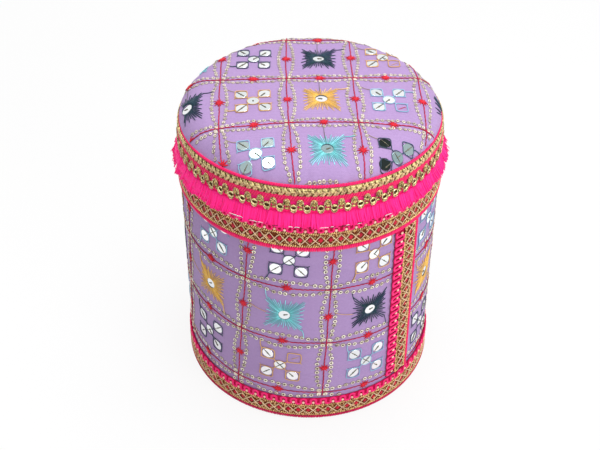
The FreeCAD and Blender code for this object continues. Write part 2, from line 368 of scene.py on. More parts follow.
def make_piece(name, heap, place, finishes, body, replaced=()):
    """Turns a heap into one piece that rides on a body."""
    points, lay, quads, triangles, quad_slots, triangle_slots = heap.gathered()
    mesh = bpy.data.meshes.new(name)
    mesh.vertices.add(len(points))
    mesh.vertices.foreach_set("co", place(points).astype(np.float32).ravel())
    corners = np.concatenate((quads.ravel(), triangles.ravel()))
    mesh.loops.add(len(corners))
    mesh.loops.foreach_set("vertex_index", corners.astype(np.int32))
    starts = np.concatenate((np.arange(len(quads)) * 4, len(quads) * 4 + np.arange(len(triangles)) * 3))
    mesh.polygons.add(len(starts))
    mesh.polygons.foreach_set("loop_start", starts.astype(np.int32))
    mesh.polygons.foreach_set("material_index", np.concatenate((quad_slots, triangle_slots)).astype(np.int32))
    mesh.attributes.new("lay", "FLOAT_VECTOR", "POINT").data.foreach_set("vector", lay.astype(np.float32).ravel())
    for finish in finishes:
        mesh.materials.append(finish)
    mesh.update(calc_edges=True)
    mesh.validate()
    mesh.shade_smooth()
    piece = bpy.data.objects.new(name, mesh)
    bpy.context.scene.collection.objects.link(piece)
    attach(piece, body)
    if replaced:
        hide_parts(*replaced)
    return piece


# Finishes

FIBRE_SCALE = 2600


def srgb(red, green, blue):
    """A colour in screen values from 0 to 255, as Blender's linear colour."""
    def linear(value):
        share = value / 255
        return ((share + 0.055) / 1.055) ** 2.4 if share > 0.04 else share / 12.92
    return linear(red), linear(green), linear(blue), 1.0


class Nodes:
    """The nodes of a material or a world."""

    def __init__(self, owner):
        owner.use_nodes = True
        self.tree = owner.node_tree

    def feed(self, socket, value):
        if isinstance(value, bpy.types.NodeSocket):
            self.tree.links.new(value, socket)
        else:
            socket.default_value = value

    def node(self, kind, settings=None, **inputs):
        made = self.tree.nodes.new("ShaderNode" + kind)
        for key, value in (settings or {}).items():
            setattr(made, key, value)
        for key, value in inputs.items():
            self.feed(made.inputs[key.replace("_", " ")], value)
        return made

    def maths(self, operation, *values):
        made = self.node("Math", {"operation": operation})
        for socket, value in zip(made.inputs, values):
            self.feed(socket, value)
        return made.outputs[0]


class Finish(Nodes):
    """A procedural material round one Principled shader."""

    def __init__(self, name, **values):
        self.material = bpy.data.materials.new(name)
        super().__init__(self.material)
        self.shader = self.tree.nodes["Principled BSDF"]
        for socket, value in values.items():
            self.shader.inputs[socket.replace("_", " ")].default_value = value

    def blend(self, share, low, high):
        """A colour between two, which are in screen values."""
        made = self.node("Mix", {"data_type": "RGBA"})
        for index, value in ((0, share), (6, srgb(*low)), (7, srgb(*high))):
            self.feed(made.inputs[index], value)
        return made.outputs[2]

    def spread(self, value, low, high):
        """Maps a value from low..high to 0..1."""
        return self.node("MapRange", Value=value, From_Min=low, From_Max=high).outputs[0]

    def lay(self):
        """The lay vector, and its three numbers."""
        read = self.node("Attribute", {"attribute_name": "lay"}).outputs["Vector"]
        parts = self.node("SeparateXYZ", Vector=read)
        return read, parts.outputs[0], parts.outputs[1], parts.outputs[2]

    def place(self):
        """Where a point is on the part, in metres."""
        return self.node("TexCoord").outputs["Object"]

    def noise(self, vector, scale, detail=3.0, roughness=0.5):
        return self.node("TexNoise", Vector=vector, Scale=scale, Detail=detail, Roughness=roughness).outputs["Fac"]

    def colour(self, value):
        self.feed(self.shader.inputs["Base Color"], value)

    def roughness(self, value):
        self.feed(self.shader.inputs["Roughness"], value)

    def bump(self, height, strength, distance):
        bump = self.node("Bump", Height=height, Strength=strength, Distance=distance)
        self.feed(self.shader.inputs["Normal"], bump.outputs[0])

    def grain(self, noise, swing, roughness, strength, distance):
        """Lets one noise make the roughness uneven and stand out as bump."""
        self.roughness(self.maths("MULTIPLY_ADD", noise, swing, roughness))
        self.bump(noise, strength, distance)


def thread_finish(name, dark, light, roughness=0.55, sheen=0.05, painted_shade_share=0.6, glow=0.0):
    """Thread: painted shade where it dips beside its neighbours, a little different in tone on each strand, and an even
    painted glow from emission where its glow is set.
    """
    made = Finish(name, Sheen_Weight=sheen, Specular_IOR_Level=0.25, Emission_Color=srgb(*light),
                  Emission_Strength=glow)
    crest, strand = made.lay()[2:]
    # painted shade: the colour darkens towards the low side of each thread's round
    share = made.maths("MULTIPLY_ADD", crest, painted_shade_share, made.maths("MULTIPLY", strand, 1 - painted_shade_share))
    made.colour(made.blend(share, dark, light))
    fibre = made.noise(made.place(), FIBRE_SCALE, 2)
    made.grain(fibre, swing=0.25, roughness=roughness - 0.12, strength=0.35, distance=0.00012)
    return made.material


def burst_finish(name, inner, outer, roughness=0.45):
    """Satin stitches: deeper in colour at the mirror, lighter towards the tips, with painted shade where each stitch
    dips.
    """
    made = Finish(name, Specular_IOR_Level=0.3)
    along, crest, strand = made.lay()[1:]
    # painted shade where each stitch dips, and a tone of its own on each stitch
    light = made.maths("MULTIPLY_ADD", crest, 0.35, made.maths("MULTIPLY", strand, 0.55))
    made.colour(made.blend(made.maths("MULTIPLY_ADD", along, 0.3, light), inner, outer))
    fibre = made.noise(made.place(), FIBRE_SCALE, 2)
    made.grain(fibre, swing=0.2, roughness=roughness - 0.1, strength=0.35, distance=0.00012)
    return made.material


def cloth_finish(name, dark, light, thread_pitch=0.55, sheen=0.1):
    """Plain-woven cotton: crossing threads, thicker slubs, fine pulled creases and an uneven dye."""
    made = Finish(name, Roughness=0.85, Sheen_Weight=sheen, Sheen_Roughness=0.5, Specular_IOR_Level=0.2)
    lay = made.lay()[0]
    wave_scale = 0.314 / thread_pitch
    weft, warp = (made.node("TexWave", {"bands_direction": way}, Vector=lay, Scale=wave_scale, Distortion=1.2,
                            Detail=1.0, Detail_Scale=0.4).outputs["Fac"] for way in ("X", "Y"))
    weave = made.maths("MULTIPLY", weft, warp)
    slub = made.noise(lay, 0.35, 4)
    dye = made.noise(lay, 0.018, 3)
    worn = made.maths("MULTIPLY_ADD", slub, 0.45, made.maths("MULTIPLY", dye, 0.4))
    made.colour(made.blend(made.spread(made.maths("MULTIPLY_ADD", weave, 0.3, worn), 0.2, 0.75), dark, light))
    pulled = made.node("VectorMath", {"operation": "MULTIPLY"}).outputs[0]
    made.feed(pulled.node.inputs[0], lay)
    pulled.node.inputs[1].default_value = (0.018, 0.16, 0.0)
    crease = made.maths("POWER", made.maths("PINGPONG", made.noise(pulled, 1.0, 2), 0.5), 3.0)
    rough = made.maths("MULTIPLY_ADD", slub, 0.5, weave)
    made.bump(made.maths("MULTIPLY_ADD", crease, 14.0, rough), 0.4, 0.0003)
    return made.material


def plain_cloth_finish(name, dark, light):
    """Plain cotton that follows the part's own frame, for linings."""
    made = Finish(name, Roughness=0.9, Specular_IOR_Level=0.2)
    place = made.place()
    weave = made.noise(place, 1500, 2)
    dye = made.noise(place, 25, 3)
    made.colour(made.blend(made.spread(made.maths("ADD", weave, dye), 0.6, 1.4), dark, light))
    made.bump(weave, 0.3, 0.0003)
    return made.material


def metal_finish(name, dark, light, roughness, metallic=0.75, sparkle=1.0, fleck=750):
    """Metal thread or foil, with painted shade where it dips, a different tone on each strand, and small painted glints
    along it.
    """
    made = Finish(name, Metallic=metallic)
    crest, strand = made.lay()[2:]
    # painted shade where the metal dips
    share = made.maths("MULTIPLY_ADD", crest, 0.35, made.maths("MULTIPLY", strand, 0.45))
    # painted glints: noise flecks that lighten the colour in small spots
    glint = made.maths("MULTIPLY_ADD", made.noise(made.place(), fleck, 2), 2.4 * sparkle, -1.2 * sparkle)
    made.colour(made.blend(made.spread(made.maths("ADD", share, glint), 0.08, 0.75), dark, light))
    made.grain(made.noise(made.place(), 1100, 3), swing=0.2, roughness=roughness - 0.1, strength=0.4, distance=0.0003)
    return made.material


def mirror_finish(name, dark, light, roughness):
    """Hand-cut mirror glass, faintly wavy, each piece a little brighter or duller."""
    made = Finish(name, Metallic=1.0)
    made.colour(made.blend(made.lay()[3], dark, light))
    made.grain(made.noise(made.place(), 160, 2), swing=0.12, roughness=roughness, strength=0.15, distance=0.0004)
    return made.material


def board_finish(name, dark, light):
    """Pressed fibreboard: flecks of fibre and a cloudy ground."""
    made = Finish(name)
    place = made.place()
    fleck = made.noise(place, 420, 5, 0.7)
    cloud = made.noise(place, 30, 2)
    made.colour(made.blend(made.spread(made.maths("ADD", fleck, cloud), 0.7, 1.3), dark, light))
    made.grain(fleck, swing=0.2, roughness=0.7, strength=0.25, distance=0.0004)
    return made.material


def steel_finish(name):
    """Bright drawn wire with faint streaks."""
    made = Finish(name, Metallic=1.0)
    streak = made.noise(made.place(), 700, 3)
    made.colour(made.blend(streak, (140, 140, 142), (200, 200, 202)))
    made.roughness(made.maths("MULTIPLY_ADD", streak, 0.25, 0.25))
    return made.material


lilac = cloth_finish("lilac_cotton", (157, 129, 178), (177, 148, 195))
threads = {
    "red": thread_finish("red_thread", (150, 6, 28), (222, 20, 48)),
    "line": thread_finish("line_thread", (108, 2, 40), (198, 22, 70)),
    "gold": thread_finish("yellow_gold_thread", (162, 108, 46), (230, 182, 106), roughness=0.45),
    "dark": thread_finish("slate_thread", (16, 30, 46), (56, 82, 102)),
    "blue": thread_finish("pale_blue_thread", (96, 150, 180), (160, 208, 228)),
    "grey": thread_finish("mirror_thread", (62, 62, 52), (118, 114, 96)),
    "chain": thread_finish("chain_thread", (112, 96, 70), (176, 156, 118), roughness=0.45),
}
bursts = {
    "gold": burst_finish("gold_satin", (204, 138, 20), (252, 208, 108)),
    "teal": burst_finish("teal_satin", (0, 62, 54), (30, 50, 78)),
    "turquoise": burst_finish("turquoise_satin", (14, 138, 136), (150, 236, 244)),
}
sequins = {
    "drum": metal_finish("champagne_sequin", (180, 166, 140), (250, 244, 226), roughness=0.35, metallic=0.15,
                         sparkle=0.35),
    "lid": metal_finish("grey_beige_sequin", (148, 134, 122), (234, 224, 208), roughness=0.35, metallic=0.15, sparkle=0.7),
}
# Dark discs under the sequins: painted shadow round their rims and in their holes, and the thread that holds them
sequin_stitch_and_shadow = {
    "drum": thread_finish("drum_sequin_stitch_and_shadow", (84, 62, 58), (128, 102, 98)),
    "lid": thread_finish("lid_sequin_stitch_and_shadow", (112, 92, 96), (146, 124, 128)),
}
mirror_bright = mirror_finish("mirror_bright", (226, 232, 234), (252, 253, 254), roughness=0.06)
# Dull and dark mirrors: darker base colours, a painted reflection of darker surroundings
mirror_painted_dull = mirror_finish("mirror_painted_dull", (140, 164, 168), (190, 204, 202), roughness=0.16)
mirror_painted_dark = mirror_finish("mirror_painted_dark", (26, 34, 34), (48, 56, 54), roughness=0.16)
gold_braid = metal_finish("gold_braid", (72, 50, 22), (244, 222, 158), roughness=0.34, sparkle=0.8, fleck=560)
tan_braid = metal_finish("tan_braid", (96, 62, 36), (232, 196, 150), roughness=0.4, sparkle=0.8, fleck=560)
gold_rope = metal_finish("gold_rope", (44, 30, 8), (224, 200, 128), roughness=0.34, sparkle=1.1, fleck=620)
bead_gold = metal_finish("bead_gold", (206, 130, 112), (250, 212, 190), roughness=0.4, metallic=0.2, sparkle=0.3)
gold_foil = metal_finish("gold_foil", (126, 94, 34), (255, 240, 180), roughness=0.22, sparkle=0.5)
pale_gold = metal_finish("pale_gold", (104, 72, 34), (255, 234, 184), roughness=0.36, metallic=0.5, sparkle=0.9,
                         fleck=480)
bronze = metal_finish("bronze_thread", (126, 72, 24), (252, 212, 146), roughness=0.36, metallic=0.45, sparkle=0.7)
bronze_ground = plain_cloth_finish("bronze_ground", (96, 40, 16), (140, 72, 32))
lattice_thread = thread_finish("lattice_thread", (186, 136, 100), (250, 220, 186), roughness=0.45)
slit_shade = plain_cloth_finish("slit_shade", (40, 22, 10), (76, 48, 22))
# A dark backing for the lid's gimp: painted shade in the gaps between its plaits
gimp_shade_backing = plain_cloth_finish("gimp_painted_shade_backing", (84, 0, 26), (120, 2, 40))
# The pink cord, gimp and fringe have an even painted glow from emission, which lifts their pink and fills the shade
# between strands.
pink_cord = thread_finish("pink_cord", (206, 6, 76), (252, 36, 116), glow=0.05)
pink_gimp = thread_finish("pink_gimp", (196, 4, 76), (255, 36, 126), glow=0.06)
red_gimp = thread_finish("red_gimp", (150, 0, 44), (255, 38, 110), painted_shade_share=0.7)
# A darker copy of the pink cord for the foot's tape: painted shade, as the foot lies low by the floor
foot_cord_painted_shade = thread_finish("foot_cord_painted_shade", (150, 4, 56), (222, 22, 92))
pink_fringe = thread_finish("pink_fringe", (248, 10, 106), (255, 40, 144), sheen=0.0, painted_shade_share=0.3, glow=0.16)
red_pad = thread_finish("red_pad", (112, 2, 26), (210, 18, 54))
magenta = plain_cloth_finish("magenta_backing", (172, 6, 62), (206, 10, 80))
white_thread = thread_finish("white_thread", (214, 204, 208), (252, 248, 250))
lining = plain_cloth_finish("lining_cotton", (206, 196, 186), (224, 216, 206))
underside = plain_cloth_finish("underside_cotton", (30, 28, 32), (46, 44, 48))
foam = board_finish("pad_foam", (226, 214, 176), (240, 232, 200))
board = board_finish("fibreboard", (128, 98, 66), (164, 130, 92))
steel = steel_finish("wire_steel")


# Cloth covers

ROUND_SIDES = 128


def make_shape(name, shape, finish, body, node):
    """A piece of one shape that is already in the part's own frame, in the place of a CAD node."""
    heap = Heap()
    heap.add(shape)
    return make_piece(name, heap, as_drawn, [finish], body, [node])


def inner_side(outer, way):
    """The hidden side of a cloth's profile, which lies to the left of the way it runs, or with -1 to the right."""
    ahead = np.gradient(outer, axis=0)
    normal = np.column_stack((ahead[:, 1], -ahead[:, 0])) / np.linalg.norm(ahead, axis=1, keepdims=True)
    return outer - way * cloth_thickness * normal


def drum_cloth():
    """The lilac cloth wrapped once round the board wall, hemmed under the foot and over the rim."""
    rows, columns = 146, 300
    turn_in = drum_radius - hem_width
    wall = [(drum_radius, z) for z in np.linspace(3.0, rim_height - 2.0, rows)]
    low = cloth_thickness
    outer = np.array([(turn_in, low), (drum_radius - 2.0, low), (drum_radius - 0.6, low + 0.5), *wall,
                      (drum_radius - 0.5, rim_height - 0.5), (drum_radius - 1.6, rim_height),
                      (drum_radius - 7.0, rim_height)])
    loop = np.concatenate((outer, inner_side(outer, 1)[::-1]))
    half_gap = seam_gap / 2 / drum_radius
    turns = np.linspace(seam_angle - TURN + half_gap, seam_angle - half_gap, columns)
    turn = np.repeat(turns, len(loop))
    radius, z = np.tile(loop[:, 0], columns), np.tile(loop[:, 1], columns)
    shown = np.clip((radius - drum_radius + 1.0), 0, 1)
    radius = radius + shown * drum_wrinkles(turn, z)
    points = np.column_stack((radius * np.sin(turn), -radius * np.cos(turn), z))
    size = len(loop)
    k, n = neighbours(size)
    quads = [np.column_stack((i * size + k, (i + 1) * size + k, (i + 1) * size + n, i * size + n))
             for i in range(columns - 1)]
    edge = np.arange(len(outer) - 1)
    end = (columns - 1) * size
    strip = np.column_stack((edge, edge + 1, size - 2 - edge, size - 1 - edge))
    quads += [strip, (end + strip)[:, ::-1]]
    lay = np.column_stack((turn * drum_radius, z, np.zeros(len(z))))
    shape = points, lay, np.concatenate(quads), np.zeros((0, 3), int)
    piece = make_shape("drum_cloth", shape, lilac, "drum", "body_cover")


def lid_cloth():
    """The cloth drawn over the pad, down the lid's side and under the hoop."""
    sectors = 300
    lengths = np.concatenate((np.linspace(0, join_length, 16)[:-1], np.linspace(join_length, crease_length, 26)))
    crown = np.column_stack(crown_profile(lengths)[:2])
    side = [(lid_radius - 0.2, crease_height - 1.2), (lid_radius, crease_height - 2.4),
            (lid_radius, crease_height - 20), (lid_radius, lid_foot + 2.0), (lid_radius - 0.5, lid_foot + 0.5),
            (lid_radius - 1.4, lid_foot), (lid_radius - 3.6, lid_foot)]
    outer = np.concatenate((crown, side))
    inner = inner_side(outer, -1)
    inner[0, 0] = 0.0
    profile = np.concatenate((inner, outer[::-1]))
    points, _, quads, triangles = turned((0, 0, 0), profile, sectors)
    along = np.concatenate((lengths, lengths[-1] + np.arange(1, len(side) + 1) * 8.0))
    along = np.concatenate((along[1:], along[::-1][:-1]))
    length = np.concatenate((np.repeat(along, sectors), (0.0, 0.0)))
    turn = np.arctan2(points[:, 1], points[:, 0])
    slope = crown_profile(np.minimum(length, crease_length))[2]
    proud = np.where(length <= crease_length, lid_wrinkles(length, turn), 0.0)
    points[:, 0] += proud * np.sin(slope) * np.cos(turn)
    points[:, 1] += proud * np.sin(slope) * np.sin(turn)
    points[:, 2] += proud * np.cos(slope)
    lay = np.column_stack((length * np.cos(turn), length * np.sin(turn), np.zeros(len(turn))))
    piece = make_shape("lid_cloth", (points, lay, quads, triangles), lilac, "lid", "lid_cover")


def lid_pad():
    """The crowned foam pad under the lid's cloth."""
    inset = cloth_thickness + 0.3
    lengths = np.linspace(crease_length - 2.0, 0, 40)
    radius, height, slope = crown_profile(lengths)
    crown = np.column_stack((radius - inset * np.sin(slope), height - inset * np.cos(slope)))
    crown[-1, 0] = 0.0
    base = head("lid_board") + 0.1
    profile = [(0, base), (crease_radius - 6.0, base), (crease_radius - 3.0, base + 0.8), *crown]
    piece = make_shape("lid_pad", turned((0, 0, 0), profile, ROUND_SIDES), foam, "lid", "lid_foam")


def sleeve(name, node, thickness, finish, body):
    """A thin cloth sleeve in the place of a round lining."""
    radius, low, high = reach(node), foot(node), head(node)
    bulge = thickness * 0.3
    levels = np.linspace(low, high, 24)
    outer = [(radius, z) for z in levels]
    inner = [(radius - thickness - bulge * math.sin(9 * z / (high - low)) ** 2, z) for z in levels[::-1]]
    piece = make_shape(name, turned((0, 0, 0), outer + inner, ROUND_SIDES, loop=True), finish, body, node)


def disc(name, node, finish, body):
    """A round cloth in the place of a flat lining, with a soft edge."""
    radius, low, high = reach(node), foot(node), head(node)
    middle = (low + high) / 2
    profile = [(0, low), (radius * 0.5, low), (radius - 1.0, low), (radius, middle), (radius - 1.0, high),
               (radius * 0.5, high), (0, high)]
    piece = make_shape(name, turned((0, 0, 0), profile, ROUND_SIDES), finish, body, node)


def neck_cloth():
    """Cloth folded over the collar that locates the lid."""
    outer, low, high = reach("neck_cover"), foot("neck_cover"), head("neck_cover")
    ring = reach("neck_ring")
    inner = ring - collar_depth
    thick = lining_thickness
    levels = np.linspace(low, high - 1.5, 12)
    rim = [(outer - 0.4, high - 0.4), (outer - 1.4, high), (inner + 1.4, high), (inner + 0.4, high - 0.4)]
    around = [(outer, z) for z in levels] + rim + [(inner, z) for z in levels[::-1]]
    back = [(inner + thick, z) for z in levels]
    back += [(inner + thick, high - thick), (outer - thick, high - thick)]
    back += [(outer - thick, z) for z in levels[::-1]]
    shape = turned((0, 0, 0), around + back, ROUND_SIDES, loop=True)
    piece = make_shape("neck_cloth", shape, lining, "drum", "neck_cover")


# Embroidery

CORNERS = ((-1, -1), (1, -1), (1, 1), (-1, 1))
BRIGHT, DULL, DARK = range(3)


class Cloth:
    """A cloth that is being sewn: threads by colour, sequins and mirrors, kept to where the cloth shows."""

    def __init__(self, body, place, shows, chain_bow, sequin_pitch, sequin_radius, sequin_hole):
        self.body, self.place, self.shows, self.chain_bow = body, place, shows, chain_bow
        self.sequin_pitch, self.sequin_radius, self.sequin_hole = sequin_pitch, sequin_radius, sequin_hole
        self.threads = {}
        self.bursts = {}
        self.sequins = []
        self.mirrors = []

    def sew(self, colour, paths, width, height, sides=6, closed=False, kind="threads"):
        paths = np.asarray(paths, float)
        middle = paths.mean(axis=1) if closed else paths[:, paths.shape[1] // 2]
        seen = self.shows(middle[:, 0], middle[:, 1], 0.0)
        if seen.any():
            wide = np.broadcast_to(width, paths.shape[:2])[seen]
            high = np.broadcast_to(height, paths.shape[:2])[seen]
            heap = getattr(self, kind).setdefault(colour, Heap())
            heap.add(strands(paths[seen], wide, high, sides, closed))

    def stitch(self, colour, starts, ends, half_width, rise=0.35, base=0.2):
        """Single stitches between points, standing up a little in the middle."""
        share = np.array((0.0, 0.18, 0.5, 0.82, 1.0))
        starts, ends = np.atleast_2d(starts).astype(float), np.atleast_2d(ends).astype(float)
        flat = starts[:, None] + (ends - starts)[:, None] * share[None, :, None]
        lift = np.broadcast_to(base + rise * np.sin(math.pi * share), flat.shape[:2])
        width = half_width * np.array((0.35, 0.9, 1.0, 0.9, 0.35))
        self.sew(colour, np.dstack((flat, lift)), width, width * 0.75)

    def knot(self, spot):
        """The knot of thread in the middle of a mirror."""
        self.stitch("grey", spot - (0.9, 0), spot + (0.9, 0), half_width=0.8, rise=0.1, base=0.8)

    def bar(self, start, end, half_width=0.45):
        """A thread across a mirror."""
        self.stitch("grey", start, end, half_width, rise=0.15, base=0.85)

    def mirror(self, spot, shade=BRIGHT):
        if self.shows(np.array([spot[0]]), np.array([spot[1]]), -mirror_radius * 0.75)[0]:
            self.mirrors.append((spot[0], spot[1], shade))


def red_line(cloth, start, end):
    """A couched line in overlapping stem stitches."""
    stitch_length, step = 6.6, 5.8
    run = end - start
    length = math.hypot(*run)
    ahead = run / length
    across = np.array((-ahead[1], ahead[0]))
    at = np.arange(0, length, step)
    wander = 0.3 * np.sin(at / 9.0 + start.sum()) + rng.normal(0, 0.1, len(at))
    starts = start + ahead * at[:, None] + across * (wander + 0.35)[:, None]
    ends = start + ahead * (at + stitch_length)[:, None] + across * (wander - 0.35)[:, None]
    cloth.stitch("line", starts, ends, half_width=0.72, rise=0.4, base=0.25)


def red_star(cloth, spot):
    """A star of satin stitches at the middle of a line."""
    points = 10
    turn = even_turns(points) + rng.uniform(0, 1)
    tips = 6.6 * rng.uniform(0.82, 1.14, points)
    out = np.column_stack((np.cos(turn), np.sin(turn)))
    share = np.array((0.0, 0.35, 0.7, 1.0))
    flat = spot + out[:, None] * (tips[:, None] * share)[..., None]
    lift = np.broadcast_to((1.0, 0.85, 0.55, 0.25), flat.shape[:2])
    cloth.sew("red", np.dstack((flat, lift)), np.array((0.6, 0.85, 0.6, 0.2)), np.array((0.6, 0.65, 0.5, 0.2)))


def sequin_chain(cloth, start, end, side, bow_height):
    """Ring sequins beside a line, bowing away from it between two crossings."""
    run = end - start
    length = math.hypot(*run)
    across = side * np.array((-run[1], run[0])) / length
    count = max(3, round(0.92 * length / cloth.sequin_pitch))
    share = np.linspace(0.045, 0.955, count) + rng.normal(0, 0.006, count)
    bow = chain_inset + bow_height * np.sin(math.pi * np.clip(share, 0, 1)) ** 0.75
    spots = start + run * share[:, None] + across * bow[:, None] + rng.normal(0, 0.35, (count, 2))
    seen = cloth.shows(spots[:, 0], spots[:, 1], 0.5)
    cloth.sequins.extend(spots[seen])
    ahead = run / length
    rim = cloth.sequin_radius
    lap = rim * 0.8 * ahead
    cloth.stitch("chain", spots[:-1] + lap, spots[1:] - lap, half_width=0.3, rise=0.0, base=0.3)
    cloth.stitch("grey", spots - rim * ahead, spots - 0.3 * rim * ahead, half_width=0.4, rise=0.1, base=0.5)


def edge(cloth, start, end, bow_height):
    red_line(cloth, start, end)
    red_star(cloth, (start + end) / 2)
    for side in (-1, 1):
        sequin_chain(cloth, start, end, side, bow_height)


def grid_lines(cloth, columns, rows):
    """Lines, stars and sequin chains between the crossings of a grid."""
    upright_bow, level_bow = cloth.chain_bow
    for x in columns:
        for low, high in zip(rows[:-1], rows[1:]):
            edge(cloth, np.array((x, low)), np.array((x, high)), upright_bow)
    for y in rows:
        for left, right in zip(columns[:-1], columns[1:]):
            edge(cloth, np.array((left, y)), np.array((right, y)), level_bow)


def round_square(spot, half, steps=32):
    """A square with rounded corners, as one closed line."""
    turn = even_turns(steps)
    bend = 0.34
    x = np.sign(np.cos(turn)) * np.abs(np.cos(turn)) ** bend
    y = np.sign(np.sin(turn)) * np.abs(np.sin(turn)) ** bend
    wobble = 1 + rng.normal(0, 0.02, steps)
    return np.column_stack((spot[0] + half * x * wobble, spot[1] + half * y * wobble, np.full(steps, 0.75)))


def round_loop(spot, radius, steps=28):
    """A ring of thread round a mirror, as one closed line."""
    turn = even_turns(steps)
    return np.column_stack((spot[0] + radius * np.cos(turn), spot[1] + radius * np.sin(turn), np.full(steps, 0.75)))


def cross_motif(cloth, centre, colour, spread, half, lost=(), shades=(BRIGHT,) * 5):
    """Five mirrors in a cross, the outer four framed in thread and tied to the middle one."""
    centre = np.asarray(centre, float)
    cloth.mirror(centre, shades[4])
    cloth.sew(colour, [round_loop(centre, mirror_radius)], 0.38, 0.4, closed=True)
    for corner, way in enumerate(CORNERS):
        way = np.array(way, float)
        spot = centre + spread * way + rng.normal(0, 0.3, 2)
        cloth.sew(colour, [round_square(spot, half)], 0.54, 0.42, closed=True)
        tail = spot + half * way * (1, -1)
        cloth.stitch(colour, tail - way * (0.6, -0.6), tail + way * (1.5, -1.5) * rng.uniform(0.4, 1),
                     half_width=0.5, rise=0.1, base=0.4)
        inner = spot - way * half * 0.9
        cloth.stitch(colour, inner, centre + way * mirror_radius * 0.66, half_width=0.6, rise=0.2, base=0.6)
        far = way * rng.choice((0.2, 0.7)) * mirror_radius
        if corner in lost:
            left_over = "red" if colour == "blue" else colour
            cloth.stitch(left_over, spot - (4, 3), spot + (5, 2), half_width=0.35, rise=0.1, base=0.3)
        else:
            cloth.mirror(spot, shades[corner])
            cloth.bar(spot - way * mirror_radius * 0.68, spot + far)
            cloth.knot(spot)
        if corner % 2 == rng.integers(2):
            cloth.bar(centre + way * 0.3, centre + way * mirror_radius * 0.7, half_width=0.4)
    cloth.knot(centre)


def burst_motif(cloth, centre, colour, half, shade=BRIGHT):
    """A square of satin rays round one mirror, close together at the mirror and apart at their tips."""
    centre, half = np.asarray(centre, float), np.asarray(half, float)
    per_side, stout = (11, 1.25) if colour == "teal" else (13, 1.0)
    along = (np.arange(per_side) + 0.5) / per_side * 2 - 1
    one_side = np.column_stack((along, np.full(per_side, -1.0)))
    turns = [np.array(((math.cos(a), -math.sin(a)), (math.sin(a), math.cos(a)))) for a in np.arange(4) * math.pi / 2]
    tips = np.concatenate([one_side @ turn.T for turn in turns])
    corner = np.tile(np.abs(along), 4)
    short = np.arange(len(tips)) % 2
    length = (0.96 + 0.12 * corner**6 - 0.2 * short * (1 - corner**4)) * rng.uniform(0.93, 1.07, len(tips))
    tips = tips * half * length[:, None]
    roots = tips / np.linalg.norm(tips, axis=1, keepdims=True) * (mirror_radius - 0.2)
    share = np.array((0.0, 0.25, 0.6, 0.9, 1.0))
    flat = centre + roots[:, None] + (tips - roots)[:, None] * share[None, :, None]
    lift = np.array((0.8, 0.9, 0.65, 0.4, 0.2)) + rng.uniform(0, 0.2, (len(tips), 1))
    width = stout * np.array((0.5, 0.42, 0.46, 0.46, 0.25))
    cloth.sew(colour, np.dstack((flat, lift)), width, width * 0.9, kind="bursts")
    # A ring of dark slate thread round the mirror's edge: painted shadow at the roots of the rays
    cloth.sew("dark", [round_loop(centre, mirror_radius - 0.1)], 0.34, 0.4, closed=True)
    cloth.mirror(centre, shade)
    across = rng.uniform(-0.4, 0.4) + math.pi * rng.integers(2)
    way = np.array((math.cos(across), math.sin(across)))
    cloth.bar(centre - way * 4.2, centre + way * 1.4)
    cloth.knot(centre)


def jump_thread(cloth, colour, start, end, sag=0.06, half_width=0.42, kind="threads"):
    """A loose thread carried across the cloth from one motif to the next."""
    share = np.linspace(0, 1, 9)
    start, end = np.asarray(start, float), np.asarray(end, float)
    run = end - start
    across = np.array((-run[1], run[0])) * sag
    flat = start + run * share[:, None] + across * np.sin(math.pi * share)[:, None]
    cloth.sew(colour, [raised(flat, 0.7)], half_width, half_width, kind=kind)


def drum_shows(along, up, margin):
    """True where the drum's cloth isn't under a tape."""
    turn, z = drum_place(along, up)
    side = (seam_tape_width / 2 - 1.5 + margin) / drum_radius
    right, left = seam_angle - side, seam_angle - TURN + side
    low, high = head("base_trim") - 1.5 + margin, foot("top_trim") + 1.5 - margin
    return (turn < right) & (turn > left) & (z > low) & (z < high)


def lid_shows(x, y, margin):
    """True where the lid's cloth is above the cord in the crease."""
    return np.hypot(*lid_place(x, y)) < crease_length - 3.5 - margin


# Colours of the motifs down each column of the drum, from the seam leftwards
DRUM_CYCLE = (("gold", "teal", "blue"), ("dark", "turquoise", "gold"), ("blue", "gold", "dark"))
# Colours of the motifs on the lid by column and row from its middle one
LID_MOTIFS = {
    (-2, 1): "turquoise", (-1, 1): "dark", (0, 1): "teal", (1, 1): "gold",
    (-2, 0): "teal", (-1, 0): "gold", (0, 0): "gold", (1, 0): "blue", (2, 0): "teal",
    (-1, -1): "blue", (0, -1): "turquoise", (1, -1): "dark",
}
# Mirrors that have come off, by motif and corner
DRUM_LOST = {(1, 2): (2,)}
LID_LOST = {(1, 1): (1,), (1, 0): (1,)}
# Mirrors on the lid with darker base colours, a painted reflection of darker surroundings, by motif: four corners and
# the middle
LID_SHADES = {(-1, -1): (DULL, BRIGHT, DULL, DULL, DULL), (1, -1): (DARK, DULL, DULL, DARK, DULL), (0, -1): (DULL,) * 5}


